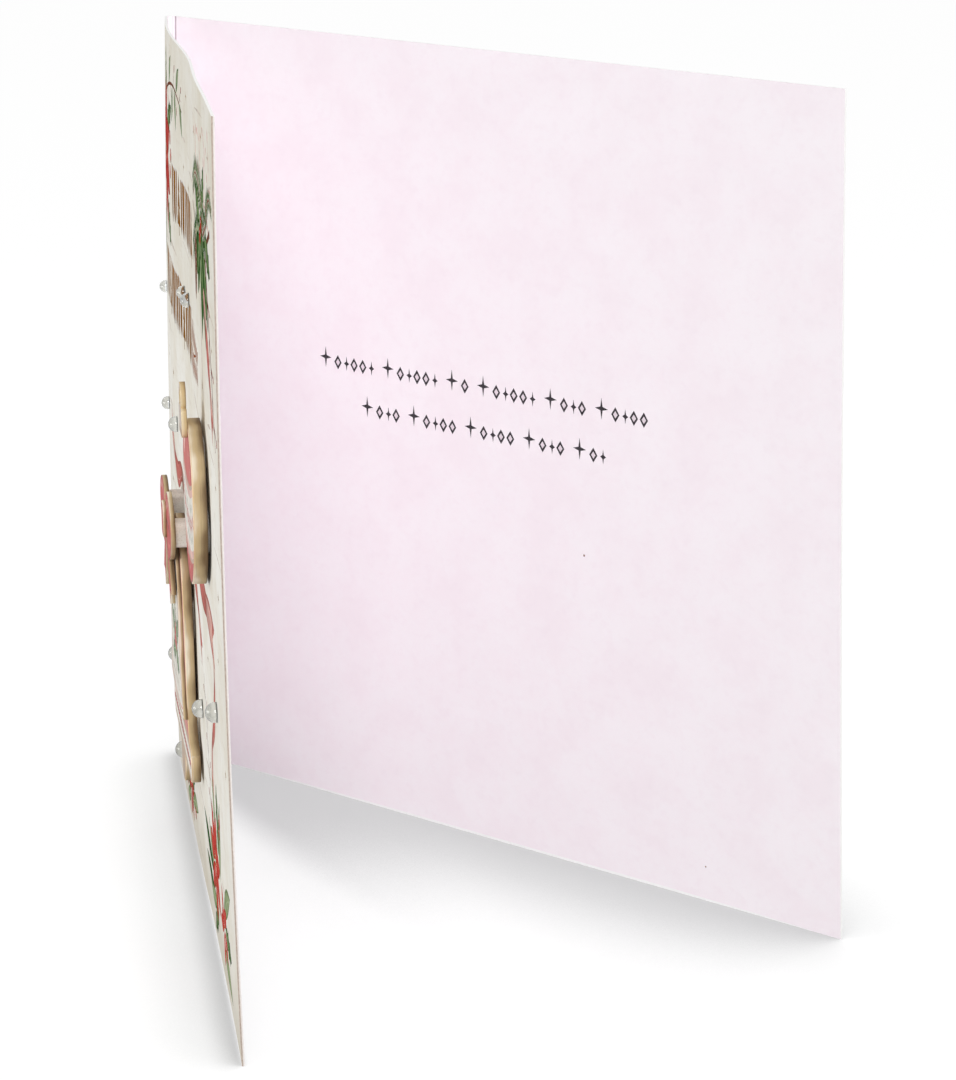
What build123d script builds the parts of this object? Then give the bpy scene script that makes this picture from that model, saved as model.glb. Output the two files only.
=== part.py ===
from build123d import *

import os
from math import asin, cos, pi, radians, sin

# A folded greeting card that stands open on its lower edges. Its front cover carries
# raised die-cut pieces on foam pads, and small domed gems.
# Frame, in millimetres: the origin is on the foot of the sheet, in the middle of its
# thickness, where the cover leaves the fold. The cover runs along +X and its printed
# outside faces -Y. The back panel opens towards +Y, and +Z is up.

# The folded sheet
panel_width = 158.0  # from the middle of the fold to a free edge
card_height = 150.0
stock = 0.5  # the board that is folded
opening_angle = 43.0  # between the panels, at the foot
fold_radius_foot = 1.4  # to the middle of the stock
fold_radius_head = 1.0
fold_lean = 2.4  # how far the head of the fold leans out, towards -Y
sheet_bow = 0.7  # how much further out the sheet stands at half its height
cover_curl = 2.4  # how much further the cover's top free corner leans out
page_curl = 7.7  # how far the back panel's top free corner curls in, towards the cover
page_bow = 0.65  # how far the back panel's free edge bows back at half its height
# How the cover's head waves off a straight line: share of its width, offset towards +Y
cover_wave = [(0.17, -0.80), (0.33, -0.25), (0.50, 0.45), (0.67, 0.0), (0.83, 0.05)]

# Foam pads and glue
pad_thickness = 0.5
pad_uncut = 6.0  # a pad's length before it is trimmed to the back of its piece
pad_corner = 0.8
glue_film = 0.03
edge_round = 0.25  # the pressed front edge of a raised piece

# The bell: where its axis and mouth are on the cover, and its outline
bell_across = 61.0
bell_up = 22.0
bell_height = 44.0
bell_board = 1.7
rim_half_width = 24.0
rim_height = 7.0
waist_half_width = 15.4
waist_share = 0.41  # of the bell's height
shoulder_half_width = 12.6
shoulder_share = 0.77
clapper_radius = 5.0
clapper_drop = 1.5  # from the mouth down to the clapper's centre
clapper_corner = 0.8  # the rounding where the clapper meets the mouth
bell_pad = 7.0
low_pads_across = 12.0  # to each side of the bell's axis
low_pads_up = 7.0  # above the mouth
high_pads_across = 7.0
high_pads_down = 17.0  # below the crown

# The thinner panel over the bell's body
panel_board = 0.7
panel_inset = 2.2
panel_foot = 10.5  # above the mouth, at the sides
panel_sag = 2.0  # how much lower the middle of the panel's foot is
panel_foot_half_width = 17.0

# The bow over the bell's crown
bow_board = 0.9
bow_gap = 0.2  # the thin pads between the panel and the bow
bow_down = 0.5  # the middle of the knot, below the bell's crown
loop_length = 15.5
loop_height = 13.0
tail_length = 15.5
tail_root_width = 2.6
tail_end_width = 4.8
tail_angle = 34.0  # each tail, from straight down
notch_depth = 1.7
tall_pad = 4.6
tall_pad_across = 10.8
thin_pad_radius = 1.3
thin_pad_down_tail = 7.0
knot_width = 5.2
knot_height = 6.4
knot_corner = 1.4
knot_board = 0.6

# The bauble and its cap
bauble_across = 119.0
bauble_up = 83.0
bauble_radius = 13.5
bauble_board = 2.3
bauble_pad_radius = 3.6
bauble_pad_circle = 7.0
cap_width = 7.4
cap_height = 4.6
cap_corner = 0.7
cap_board = 0.9
cap_overlap = 2.2  # how far the cap laps over the bauble
ring_radius = 2.4
ring_bore = 1.4
ring_overlap = 0.9  # how far the ring runs into the cap

# The domed gems: across and up on the cover, and diameter
gem_places = [
    (4.5, 98.0, 2.4),
    (65.0, 107.6, 2.4),
    (76.0, 108.2, 2.6),
    (6.0, 75.0, 2.6),
    (39.0, 78.0, 3.0),
    (8.0, 24.0, 3.2),
    (89.0, 38.0, 3.4),
    (132.0, 51.0, 3.4),
    (24.0, 9.0, 3.4),
]
gem_girdle = 0.25  # the straight edge under the dome

os.makedirs("parts", exist_ok=True)


# The sheet's plan at any height, from its foot (rise 0) to its head (rise 1)


def fold_radius(rise):
    return fold_radius_foot + (fold_radius_head - fold_radius_foot) * rise


def bowed(rise):
    """The share of a bow at this height: none at foot and head, all of it half way."""
    return 4 * rise * (1 - rise)


def lean(rise):
    return fold_lean * rise + sheet_bow * bowed(rise)


def page_angle(rise):
    """The back panel's direction, in radians from the cover's."""
    curled = asin(page_curl / panel_width) * rise
    return radians(opening_angle) - curled + asin(page_bow / panel_width) * bowed(rise)


def flat_width(rise):
    """A panel's width from its free edge to where the fold starts to turn."""
    return panel_width - fold_radius(rise) * (pi - page_angle(rise)) / 2


def cover_points(rise, side):
    """Points of the cover's line, on one side of the middle of the stock."""
    stations = [(0.0, 0.0), *cover_wave, (1.0, 0.0)]
    return [
        Vector(
            flat_width(rise) * share,
            side + (wave - cover_curl * share) * rise - lean(rise),
            card_height * rise,
        )
        for share, wave in stations
    ]


def fold_points(rise, radius):
    """Start, middle and end of the fold's turn, from the cover to the back panel."""
    centre = cover_points(rise, fold_radius(rise))[0]
    turn = page_angle(rise)
    return [
        centre + Vector(0, -radius),
        centre + Vector(-cos(turn / 2), -sin(turn / 2)) * radius,
        centre + Vector(-sin(turn), cos(turn)) * radius,
    ]


def flattened(points):
    return [Vector(point.X, point.Y) for point in points]


# The card is one sheet, lofted through its outlines at the foot, half way up and at the head
loft_rises = (0, 0.5, 1)
with BuildPart() as card:
    for rise in loft_rises:
        along_page = Vector(cos(page_angle(rise)), sin(page_angle(rise))) * flat_width(rise)
        with BuildSketch(Plane.XY.offset(card_height * rise)):
            with BuildLine():
                outside = Spline(flattened(cover_points(rise, -stock / 2)))
                inside = Spline(flattened(cover_points(rise, stock / 2)))
                Line(outside @ 1, inside @ 1)
                inner = ThreePointArc(flattened(fold_points(rise, fold_radius(rise) - stock / 2)))
                outer = ThreePointArc(flattened(fold_points(rise, fold_radius(rise) + stock / 2)))
                page_inside = Line(inner @ 1, inner @ 1 + along_page)
                page_outside = Line(outer @ 1, outer @ 1 + along_page)
                Line(page_inside @ 1, page_outside @ 1)
            make_face()
    loft()
card.part.label = "card"
export_step(card.part, "parts/card.step")

# Places on the outside of the cover, which the raised pieces and gems sit on
cover_lines = [Spline(cover_points(rise, -stock / 2)) for rise in loft_rises]


def on_cover(across, up):
    """The point on the curve through the three lofted outlines, at this height."""
    rise = up / card_height
    foot, middle, head = (line @ (across / flat_width(0)) for line in cover_lines)
    return (
        foot * (1 - rise) * (1 - 2 * rise) + middle * bowed(rise) + head * rise * (2 * rise - 1)
    )


def cover_plane(across, up, reach, lift):
    """A plane that faces out of the cover, level with it at reach to each side."""
    along = on_cover(across + reach, up) - on_cover(across - reach, up)
    upward = on_cover(across, up + reach) - on_cover(across, up - reach)
    outward = along.cross(upward).normalized()
    sides = [
        on_cover(across + i * reach, up + j * reach) for i, j in ((-1, 0), (1, 0), (0, -1), (0, 1))
    ]
    middle = (sides[0] + sides[1] + sides[2] + sides[3]) / 4
    return Plane(middle + outward * lift, x_dir=along, z_dir=outward)


def pad_seat(across, up, width):
    """The plane that a pad or gem of this width is glued to, level with the cover under it."""
    return cover_plane(across, up, reach=width / 2, lift=glue_film)


def slid_up(plane, distance):
    """The same plane with its origin moved along its own upward direction."""
    return Plane(plane.origin + plane.y_dir * distance, x_dir=plane.x_dir, z_dir=plane.z_dir)


def front_edges(builder, plane):
    facing_out = Axis(plane.origin, plane.z_dir)
    return builder.faces().sort_by(facing_out)[-1].edges()


# The bell, with its clapper below the mouth
bell_middle = cover_plane(
    bell_across, bell_up + bell_height / 2, reach=bell_height / 2, lift=pad_thickness
)
bell_back = slid_up(bell_middle, -bell_height / 2)
bell_front = bell_back.offset(bell_board)

with BuildPart() as bell:
    with BuildSketch(bell_back) as bell_outline:
        with BuildLine() as half_bell:
            mouth = Line((0, 0), (rim_half_width - rim_height / 2, 0))
            rim = ThreePointArc(
                mouth @ 1,
                (rim_half_width, rim_height / 2),
                (rim_half_width - rim_height / 2, rim_height),
            )
            Spline(
                rim @ 1,
                (waist_half_width, bell_height * waist_share),
                (shoulder_half_width, bell_height * shoulder_share),
                (0, bell_height),
                tangents=((-1, 0.25), (-1, 0)),
            )
            mirror(half_bell.line, about=Plane.YZ)
        make_face()
        with Locations((0, -clapper_drop)):
            Circle(clapper_radius)
        clapper_ends = bell_outline.vertices().sort_by(lambda vertex: abs(vertex.X))[:2]
        fillet(clapper_ends, clapper_corner)
    extrude(amount=bell_board)
    fillet(front_edges(bell, bell_back), edge_round)
bell.part.label = "bell"
export_step(bell.part, "parts/bell.step")

with BuildPart() as bell_foam:
    for across, above_mouth in (
        (low_pads_across, low_pads_up),
        (high_pads_across, bell_height - high_pads_down),
    ):
        for side in (-1, 1):
            seat = pad_seat(bell_across + side * across, bell_up + above_mouth, bell_pad)
            with BuildSketch(seat):
                RectangleRounded(bell_pad, bell_pad, pad_corner)
    extrude(amount=pad_uncut)
    split(bisect_by=bell_back, keep=Keep.BOTTOM)
bell_foam.part.label = "bell_foam_pads"
export_step(bell_foam.part, "parts/bell_foam_pads.step")

# The panel over the bell's body stops above the rim
with BuildPart() as panel:
    with BuildSketch(bell_front):
        with BuildLine() as half_panel:
            hem = ThreePointArc(
                (0, panel_foot - panel_sag),
                (panel_foot_half_width * 0.5, panel_foot - panel_sag * 0.75),
                (panel_foot_half_width, panel_foot),
            )
            Spline(
                hem @ 1,
                (waist_half_width - panel_inset, bell_height * waist_share),
                (shoulder_half_width - panel_inset, bell_height * shoulder_share),
                (0, bell_height - panel_inset),
                tangents=((-0.5, 1), (-1, 0)),
            )
            mirror(half_panel.line, about=Plane.YZ)
        make_face()
    extrude(amount=panel_board)
    fillet(front_edges(panel, bell_front), edge_round)
panel.part.label = "bell_panel"
export_step(panel.part, "parts/bell_panel.step")

# The bow: two loops and two notched tails, cut as one piece, with the knot on top
bow_above_mouth = bell_height - bow_down
bow_back = slid_up(bell_front, bow_above_mouth).offset(panel_board + bow_gap)
bow_front = bow_back.offset(bow_board)

with BuildPart() as bow:
    with BuildSketch(bow_back):
        with BuildLine() as right_loop:
            Spline(
                (0, knot_height * 0.22),
                (loop_length * 0.55, loop_height * 0.47),
                (loop_length, loop_height * 0.10),
                (loop_length * 0.60, -loop_height * 0.40),
                (0, -knot_height * 0.22),
            )
            mirror(right_loop.line, about=Plane.YZ)
        make_face()
        for side in (-1, 1):
            Polygon(
                (-tail_root_width / 2, 0),
                (-tail_end_width / 2, -tail_length),
                (0, -tail_length + notch_depth),
                (tail_end_width / 2, -tail_length),
                (tail_root_width / 2, 0),
                rotation=side * tail_angle,
                align=None,
            )
    extrude(amount=bow_board)
bow.part.label = "bow"
export_step(bow.part, "parts/bow.step")

with BuildPart() as knot:
    with BuildSketch(bow_front):
        RectangleRounded(knot_width, knot_height, knot_corner)
    extrude(amount=knot_board)
    fillet(front_edges(knot, bow_front), edge_round)
knot.part.label = "bow_knot"
export_step(knot.part, "parts/bow_knot.step")

# Tall pads carry the loops from the cover, and thin ones join the tails to the panel
with BuildPart() as bow_foam:
    for across in (-tall_pad_across, tall_pad_across):
        seat = pad_seat(bell_across + across, bell_up + bow_above_mouth, tall_pad)
        with BuildSketch(seat):
            RectangleRounded(tall_pad, tall_pad, pad_corner)
    extrude(amount=pad_uncut)
    split(bisect_by=bow_back, keep=Keep.BOTTOM)
    with BuildSketch(bow_back):
        for side in (-1, 1):
            down_tail = Vector(0, -thin_pad_down_tail).rotate(Axis.Z, side * tail_angle)
            with Locations(down_tail):
                Circle(thin_pad_radius)
    extrude(amount=-bow_gap)
bow_foam.part.label = "bow_foam_pads"
export_step(bow_foam.part, "parts/bow_foam_pads.step")

# The bauble: a disc, with a cap and hanging ring glued over its top
bauble_back = cover_plane(bauble_across, bauble_up, reach=bauble_radius, lift=pad_thickness)
bauble_front = bauble_back.offset(bauble_board)

with BuildPart() as bauble:
    with BuildSketch(bauble_back):
        Circle(bauble_radius)
    extrude(amount=bauble_board)
    fillet(front_edges(bauble, bauble_back), edge_round)
bauble.part.label = "bauble"
export_step(bauble.part, "parts/bauble.step")

with BuildPart() as bauble_foam:
    for turn in (90, 210, 330):
        place = Vector(bauble_pad_circle, 0).rotate(Axis.Z, turn)
        seat = pad_seat(bauble_across + place.X, bauble_up + place.Y, 2 * bauble_pad_radius)
        with BuildSketch(seat):
            Circle(bauble_pad_radius)
    extrude(amount=pad_uncut)
    split(bisect_by=bauble_back, keep=Keep.BOTTOM)
bauble_foam.part.label = "bauble_foam_pads"
export_step(bauble_foam.part, "parts/bauble_foam_pads.step")

cap_foot = bauble_radius - cap_overlap
with BuildPart() as cap:
    with BuildSketch(bauble_front):
        with Locations((0, cap_foot + cap_height / 2)):
            RectangleRounded(cap_width, cap_height, cap_corner)
        with Locations((0, cap_foot + cap_height + ring_radius - ring_overlap)):
            Circle(ring_radius)
            Circle(ring_bore, mode=Mode.SUBTRACT)
    extrude(amount=cap_board)
cap.part.label = "bauble_cap"
export_step(cap.part, "parts/bauble_cap.step")

# The gems: flat backs glued to the cover, each under a half-round dome
for number, (across, up, diameter) in enumerate(gem_places, start=1):
    seat = pad_seat(across, up, diameter)
    radius = diameter / 2
    with BuildPart() as gem:
        with BuildSketch(Plane(seat.origin, x_dir=seat.x_dir, z_dir=-seat.y_dir)):
            with BuildLine():
                base = Line((0, 0), (radius, 0))
                girdle = Line(base @ 1, (radius, gem_girdle))
                dome = ThreePointArc(
                    girdle @ 1,
                    (radius * cos(pi / 4), gem_girdle + radius * sin(pi / 4)),
                    (0, gem_girdle + radius),
                )
                Line(dome @ 1, base @ 0)
            make_face()
        revolve(axis=Axis(seat.origin, seat.z_dir))
    gem.part.label = f"gem_{number}"
    export_step(gem.part, f"parts/gem_{number}.step")
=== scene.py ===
# %% [markdown]
# # A folded greeting card with raised, die-cut decorations
#
# The real object is one printed sheet of card stock, folded once and stood on its lower edges.
# Thick cut-board decorations sit on foam pads on its cover, with small clear gems between them.
#
# The places and outlines come from the CAD model, which is loaded first and never moved.
# Blender adds what the eye sees: the print, the cut board, the foil, the gems and the light.

import bpy
import math
import numpy as np
from mathutils import Matrix, Vector
from mathutils.bvhtree import BVHTree
from mathutils.geometry import delaunay_2d_cdt


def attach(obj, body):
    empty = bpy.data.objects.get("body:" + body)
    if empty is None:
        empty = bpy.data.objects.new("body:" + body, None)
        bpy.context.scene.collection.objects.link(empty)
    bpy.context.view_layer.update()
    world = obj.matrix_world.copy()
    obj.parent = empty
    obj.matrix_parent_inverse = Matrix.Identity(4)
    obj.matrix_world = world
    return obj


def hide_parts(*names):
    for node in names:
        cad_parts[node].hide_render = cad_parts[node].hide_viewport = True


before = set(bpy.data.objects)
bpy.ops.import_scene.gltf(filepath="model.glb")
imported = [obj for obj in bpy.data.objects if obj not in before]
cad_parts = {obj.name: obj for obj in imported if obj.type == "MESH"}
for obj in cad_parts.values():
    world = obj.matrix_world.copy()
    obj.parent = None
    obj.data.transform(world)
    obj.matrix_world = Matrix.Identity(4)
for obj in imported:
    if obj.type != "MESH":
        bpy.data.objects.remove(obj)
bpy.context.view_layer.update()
MM = 0.001

# %% [markdown]
# ## The camera
#
# The photograph was taken from beyond the cover's free edge, so the cover is seen at a grazing
# angle and the inside of the back panel faces the lens. The angles and the focal length were
# solved once from the card's edges in the photograph. The focal length is in pixels of that
# photograph, and a lens in millimetres on a 36 mm film side is the same thing in other words.

# %% Place the camera
AZIMUTH, ELEVATION, ROLL = (math.radians(angle) for angle in (80.885, 14.545, 1.219))
FOCAL_PIXELS = 3161.719
PHOTO_HEIGHT = 1080
FILM_SIDE = 36.0
LOOK_AT = Vector((75.0, 50.0, 75.0))
DISTANCE = 566.298
SHIFT_RIGHT, SHIFT_UP = -1.418, -10.778

back = Vector(
    (
        math.sin(AZIMUTH) * math.cos(ELEVATION),
        -math.cos(AZIMUTH) * math.cos(ELEVATION),
        math.sin(ELEVATION),
    )
)
level_right = Vector((math.cos(AZIMUTH), math.sin(AZIMUTH), 0.0))
level_up = back.cross(level_right)
right = level_right * math.cos(ROLL) + level_up * math.sin(ROLL)
up = back.cross(right)

camera = bpy.data.objects.new("camera", bpy.data.cameras.new("camera"))
bpy.context.scene.collection.objects.link(camera)
camera.data.sensor_width = FILM_SIDE
camera.data.lens = FOCAL_PIXELS / PHOTO_HEIGHT * FILM_SIDE
camera.data.clip_start = 0.01
camera.matrix_world = Matrix.Translation(
    (LOOK_AT + back * DISTANCE + right * SHIFT_RIGHT + up * SHIFT_UP) * MM
) @ Matrix((right, up, back)).transposed().to_4x4()
bpy.context.scene.camera = camera
print("lens in mm:", round(camera.data.lens, 2))

# %% [markdown]
# ## One small helper for node materials
#
# A finish is written as arithmetic. `Wire` stands for one output socket, and adding or
# multiplying wires adds the Math nodes that do it. Colours go through Mix nodes instead,
# because a Math node would turn them grey.


# %% Write shader maths as Python expressions
class Wire:
    """An output socket of one node tree. Arithmetic on it adds Math nodes."""

    def __init__(self, nodes, socket):
        self.nodes = nodes
        self.socket = socket

    def math(self, operation, *values):
        return self.nodes.add("ShaderNodeMath", {"operation": operation}, dict(enumerate(values)))

    def __add__(self, other):
        return self.math("ADD", self, other)

    def __sub__(self, other):
        return self.math("SUBTRACT", self, other)

    def __rsub__(self, other):
        return self.math("SUBTRACT", other, self)

    def __mul__(self, other):
        return self.math("MULTIPLY", self, other)

    def __truediv__(self, other):
        return self.math("DIVIDE", self, other)

    def __rtruediv__(self, other):
        return self.math("DIVIDE", other, self)

    __radd__ = __add__
    __rmul__ = __mul__

    def distance_from(self, other):
        return self.math("ABSOLUTE", self - other)

    def rising(self, low, high):
        """0 below low, 1 above high, and smooth between. Low may be the larger one."""
        return self.nodes.add(
            "ShaderNodeMapRange",
            {"interpolation_type": "SMOOTHSTEP"},
            {"Value": self, "From Min": low, "From Max": high},
        )


# %% [markdown]
# Every node comes from `Nodes.add`, which sets the node's own settings first and then its
# sockets, each with a plain value or with a wire. The world has a node tree as a material has,
# so what the two share stands here.


# %% Add nodes of any kind
class Nodes:
    """The node tree of a material or of the world, and the one way in which nodes are added."""

    def __init__(self, tree):
        self.tree = tree

    def add(self, kind, settings=None, inputs=None, output=0):
        """One node of any kind: its settings, then its sockets, and the output that is used."""
        node = self.tree.nodes.new(kind)
        for name, value in (settings or {}).items():
            setattr(node, name, value)
        for name, value in (inputs or {}).items():
            self.feed(node.inputs[name], value)
        return Wire(self, node.outputs[output])

    def feed(self, socket, value):
        if isinstance(value, Wire):
            self.tree.links.new(value.socket, socket)
        else:
            socket.default_value = value

    def seen_directly(self):
        """1 for rays from the camera, through glass or off metal, and 0 for the rest."""
        rays = ("Is Camera Ray", "Is Glossy Ray", "Is Transmission Ray")
        camera_ray, glossy_ray, glass_ray = (
            self.add("ShaderNodeLightPath", output=name) for name in rays
        )
        either = camera_ray.math("MAXIMUM", camera_ray, glossy_ray)
        return either.math("MAXIMUM", either, glass_ray)


# %% [markdown]
# A finish is one Principled shader. What is the same all over the surface is set on the shader's
# own socket, and what changes over it is fed by a wire. Noise stands for what chance did on the
# real thing, such as grain, fibres, worn ink and the streaks of a cut.


# %% Make a finish out of a Principled shader
class Finish(Nodes):
    """A material made of a Principled shader, whose fixed values are set on its own sockets."""

    def __init__(self, name, **fixed):
        self.material = bpy.data.materials.new(name)
        self.material.use_nodes = True
        super().__init__(self.material.node_tree)
        self.shader = self.tree.nodes["Principled BSDF"]
        self.into(**fixed)

    def into(self, **values):
        """Feeds the shader's sockets, which are named here in small letters: base_color."""
        for name, value in values.items():
            socket = name.replace("_", " ").title().replace("Ior", "IOR")
            self.feed(self.shader.inputs[socket], value)

    def attribute(self, name, output="Fac"):
        return self.add("ShaderNodeAttribute", {"attribute_name": name}, output=output)

    def noise(self, where, scale, detail=2.0, roughness=0.5, distortion=0.0):
        return self.add(
            "ShaderNodeTexNoise",
            None,
            {
                "Vector": where,
                "Scale": scale,
                "Detail": detail,
                "Roughness": roughness,
                "Distortion": distortion,
            },
        )

    def stretched(self, where, x, y, z):
        return self.add(
            "ShaderNodeVectorMath", {"operation": "MULTIPLY"}, {0: where, 1: (x, y, z)}
        )

    def mix(self, factor, first, second, blend="MIX"):
        """Mixes two colours: Mix's colour sockets are numbers 6 and 7, and its colour output 2."""
        settings = {"data_type": "RGBA", "blend_type": blend, "clamp_factor": True}
        return self.add("ShaderNodeMix", settings, {0: factor, 6: first, 7: second}, output=2)

    def part(self, vector, number):
        """One of a vector's three numbers: 0, 1 or 2."""
        return self.add("ShaderNodeSeparateXYZ", None, {0: vector}, output=number)

    def bump(self, height, strength, depth):
        return self.add(
            "ShaderNodeBump", None, {"Height": height, "Strength": strength, "Distance": depth}
        )


# %% [markdown]
# Colours are written as a screen shows them, from 0 to 255, because such numbers are easy to
# judge by eye. Blender mixes linear light, so they are turned once, here.


# %% Turn screen colours into linear light
def colour(red, green, blue):
    """A colour as a screen shows it, 0 to 255, turned into the linear values that Blender mixes."""
    parts = np.array((red, green, blue)) / 255.0
    linear = np.where(parts <= 0.04045, parts / 12.92, ((parts + 0.055) / 1.055) ** 2.4)
    return (*(float(part) for part in linear), 1.0)


def grey(level):
    """A grey that is already linear."""
    return (level, level, level, 1.0)


# %% [markdown]
# ## Floor and light
#
# A white, even surround: a large floor and a bright world, with one wide, soft lamp far behind
# the camera, and two soft boxes, before the cover and behind the back panel. The boxes are no
# taller than the card, so the page doesn't see them. All light the card at a plain level.
#
# To the camera, and to rays through glass or off metal, the floor adds a glow that fades where
# the card stands close over it, so the floor is white; the fading glow is a painted contact shadow
# round the card, over the cast shadow that the lamps throw. How close is close differs before the
# cover, behind it and beside the page.

# %% Make the floor
FLOOR_RADIUS = 6.0
FLOOR_CORNERS = 96
REACH_BEFORE_COVER, REACH_BEHIND_COVER, REACH_BY_PAGE = 0.024, 0.020, 0.050
PAGE_SLOPE = 0.38
OPEN_GLOW, BEFORE_COVER_GLOW, BEHIND_COVER_GLOW, BY_PAGE_GLOW = 0.88, 0.66, 0.80, 0.47
CONTACT_GLOW, CONTACT_DEPTH = 0.42, 0.006

floor_points = [
    (
        FLOOR_RADIUS * math.cos(corner * math.tau / FLOOR_CORNERS),
        FLOOR_RADIUS * math.sin(corner * math.tau / FLOOR_CORNERS),
        0.0,
    )
    for corner in range(FLOOR_CORNERS)
]
floor_mesh = bpy.data.meshes.new("floor")
floor_mesh.from_pydata(floor_points, [], [list(range(FLOOR_CORNERS))])
floor = bpy.data.objects.new("floor", floor_mesh)
bpy.context.scene.collection.objects.link(floor)

floor_finish = Finish("white_floor", roughness=0.9, specular_ior_level=0.0, emission_strength=1.0)
seen = floor_finish.seen_directly()
spot = floor_finish.add("ShaderNodeTexCoord", output="Object")
out_from_cover = floor_finish.part(spot, 1)
along_cover = floor_finish.part(spot, 0)
slope = out_from_cover / along_cover.math("MAXIMUM", along_cover, 0.004)
near_page = slope.rising(0.0, PAGE_SLOPE)
inner_reach = REACH_BEHIND_COVER + near_page * (REACH_BY_PAGE - REACH_BEHIND_COVER)
inner_side = out_from_cover.rising(-0.001, 0.001)
reach = inner_side * (inner_reach - REACH_BEFORE_COVER) + REACH_BEFORE_COVER
# Painted contact shadow: ambient occlusion fades the glow where the card stands close.
openness = floor_finish.add(
    "ShaderNodeAmbientOcclusion", {"samples": 8}, {"Distance": reach}, output="AO"
)
glow = openness.rising(0.46, 0.98)
# Painted contact shadow: how dark the glow gets by the cover's foot, behind it and by the page.
close_under = out_from_cover.rising(-CONTACT_DEPTH, 0.0)
painted_shadow_by_cover = floor_finish.mix(close_under, grey(BEFORE_COVER_GLOW), grey(CONTACT_GLOW))
page_glow = (BY_PAGE_GLOW, BY_PAGE_GLOW, BY_PAGE_GLOW + 0.005, 1.0)
painted_shadow_by_page = floor_finish.mix(near_page, grey(BEHIND_COVER_GLOW), page_glow)
painted_shadow_glow = floor_finish.mix(inner_side, painted_shadow_by_cover, painted_shadow_by_page)
shown_glow = floor_finish.mix(glow, painted_shadow_glow, grey(OPEN_GLOW))
floor_finish.into(
    base_color=floor_finish.mix(seen, grey(0.48), grey(0.17)),
    emission_color=floor_finish.mix(seen, grey(0.0), shown_glow),
)
floor_mesh.materials.append(floor_finish.material)
print("floor across, in metres:", 2 * FLOOR_RADIUS)

# %% [markdown]
# The world gives most of the light, evenly from all sides, and the lamps give the soft shadows
# their direction. The world is plain white where it is seen, and dimmer where it only lights.

# %% Make the world and the lamps
WORLD_LIGHT = 0.58
LAMP_PLACE, LAMP_SIZE, LAMP_POWER = (1.525, 0.02, 0.925), (1.0, 1.0), 19.0
FILL_PLACE, FILL_SIZE, FILL_POWER = (0.075, -0.42, 0.075), (0.30, 0.14), 0.60
BACK_PLACE = (-0.228, 0.361, 0.075)

world = bpy.data.worlds.new("white_surround")
bpy.context.scene.world = world
world.use_nodes = True
surround = Nodes(world.node_tree)
surround.tree.nodes.remove(surround.tree.nodes["Background"])
lit = surround.add("ShaderNodeBackground", None, {"Color": grey(1.0), "Strength": WORLD_LIGHT})
shown = surround.add("ShaderNodeBackground", None, {"Color": grey(1.0), "Strength": 1.0})
chosen = surround.add("ShaderNodeMixShader", None, {0: surround.seen_directly(), 1: lit, 2: shown})
surround.feed(surround.tree.nodes["World Output"].inputs["Surface"], chosen)


def add_light(name, shape, place, power, size):
    """A soft box, round or oblong, that faces the card's middle from the given place."""
    light = bpy.data.objects.new(name, bpy.data.lights.new(name, "AREA"))
    light.data.energy = power
    light.data.shape = shape
    light.data.size = size[0]
    light.data.size_y = size[1]
    light.visible_camera = False
    light.location = place
    light.rotation_mode = "QUATERNION"
    light.rotation_quaternion = (Vector(place) - LOOK_AT * MM).to_track_quat("Z", "Y")
    bpy.context.scene.collection.objects.link(light)


add_light("lamp", "DISK", LAMP_PLACE, LAMP_POWER, LAMP_SIZE)
add_light("fill", "RECTANGLE", FILL_PLACE, FILL_POWER, FILL_SIZE)
add_light("back_fill", "RECTANGLE", BACK_PLACE, FILL_POWER, FILL_SIZE)
bpy.context.scene.view_settings.view_transform = "Standard"

# %% [markdown]
# ## Folding a flat sheet
#
# A card is printed flat and then folded, so it is modelled that way. A place on the flat sheet
# has two numbers: how far it is from the middle of the fold, and how high it is. To the right
# of the fold is the cover and to the left the back panel, seen from outside. The sheet leans and
# waves a little more the higher it is, and bows at half its height, as board does that has stood
# open. The sizes are the CAD model's.

# %% State the sheet's sizes
PANEL_WIDTH = 158.0
CARD_HEIGHT = 150.0
STOCK = 0.5
OPENING = math.radians(43.0)
FOLD_RADIUS_FOOT, FOLD_RADIUS_HEAD = 1.4, 1.0
LEAN = 2.4
SHEET_BOW = 0.7
COVER_CURL = 2.4
PAGE_CURL = 7.7
PAGE_BOW = 0.65
WAVE = [  # the cover's head, as shares of its width and mm outward or inward
    (0.0, 0.0), (0.17, -0.80), (0.33, -0.25), (0.50, 0.45), (0.67, 0.0), (0.83, 0.05), (1.0, 0.0),
]


def natural_curve(stations):
    """The smooth cubic through the stations that is straight at both ends, as a function."""
    at, value = np.array(stations).T
    gap = np.diff(at)
    count = len(at)
    system, sides = np.eye(count), np.zeros(count)
    for k in range(1, count - 1):
        system[k, k - 1 : k + 2] = gap[k - 1], 2 * (gap[k - 1] + gap[k]), gap[k]
        after, before = (value[k + 1] - value[k]) / gap[k], (value[k] - value[k - 1]) / gap[k - 1]
        sides[k] = 6 * (after - before)
    bend = np.linalg.solve(system, sides)

    def curve(x):
        x = np.clip(x, at[0], at[-1])
        k = np.clip(np.searchsorted(at, x) - 1, 0, count - 2)
        before, after = x - at[k], at[k + 1] - x
        return (
            (bend[k] * after**3 + bend[k + 1] * before**3) / (6 * gap[k])
            + (value[k] / gap[k] - bend[k] * gap[k] / 6) * after
            + (value[k + 1] / gap[k] - bend[k + 1] * gap[k] / 6) * before
        )

    return curve


cover_wave = natural_curve(WAVE)
print("cover's wave at a quarter of its width, mm:", round(float(cover_wave(0.25)), 2))

# %% [markdown]
# `folded` turns flat places into points in space. On the cover a place goes straight along, in
# the fold it goes round an arc, and on the back panel it goes along the panel's own direction.
# To the outside or the inside of the stock, the arc is a little wider or narrower.


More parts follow.
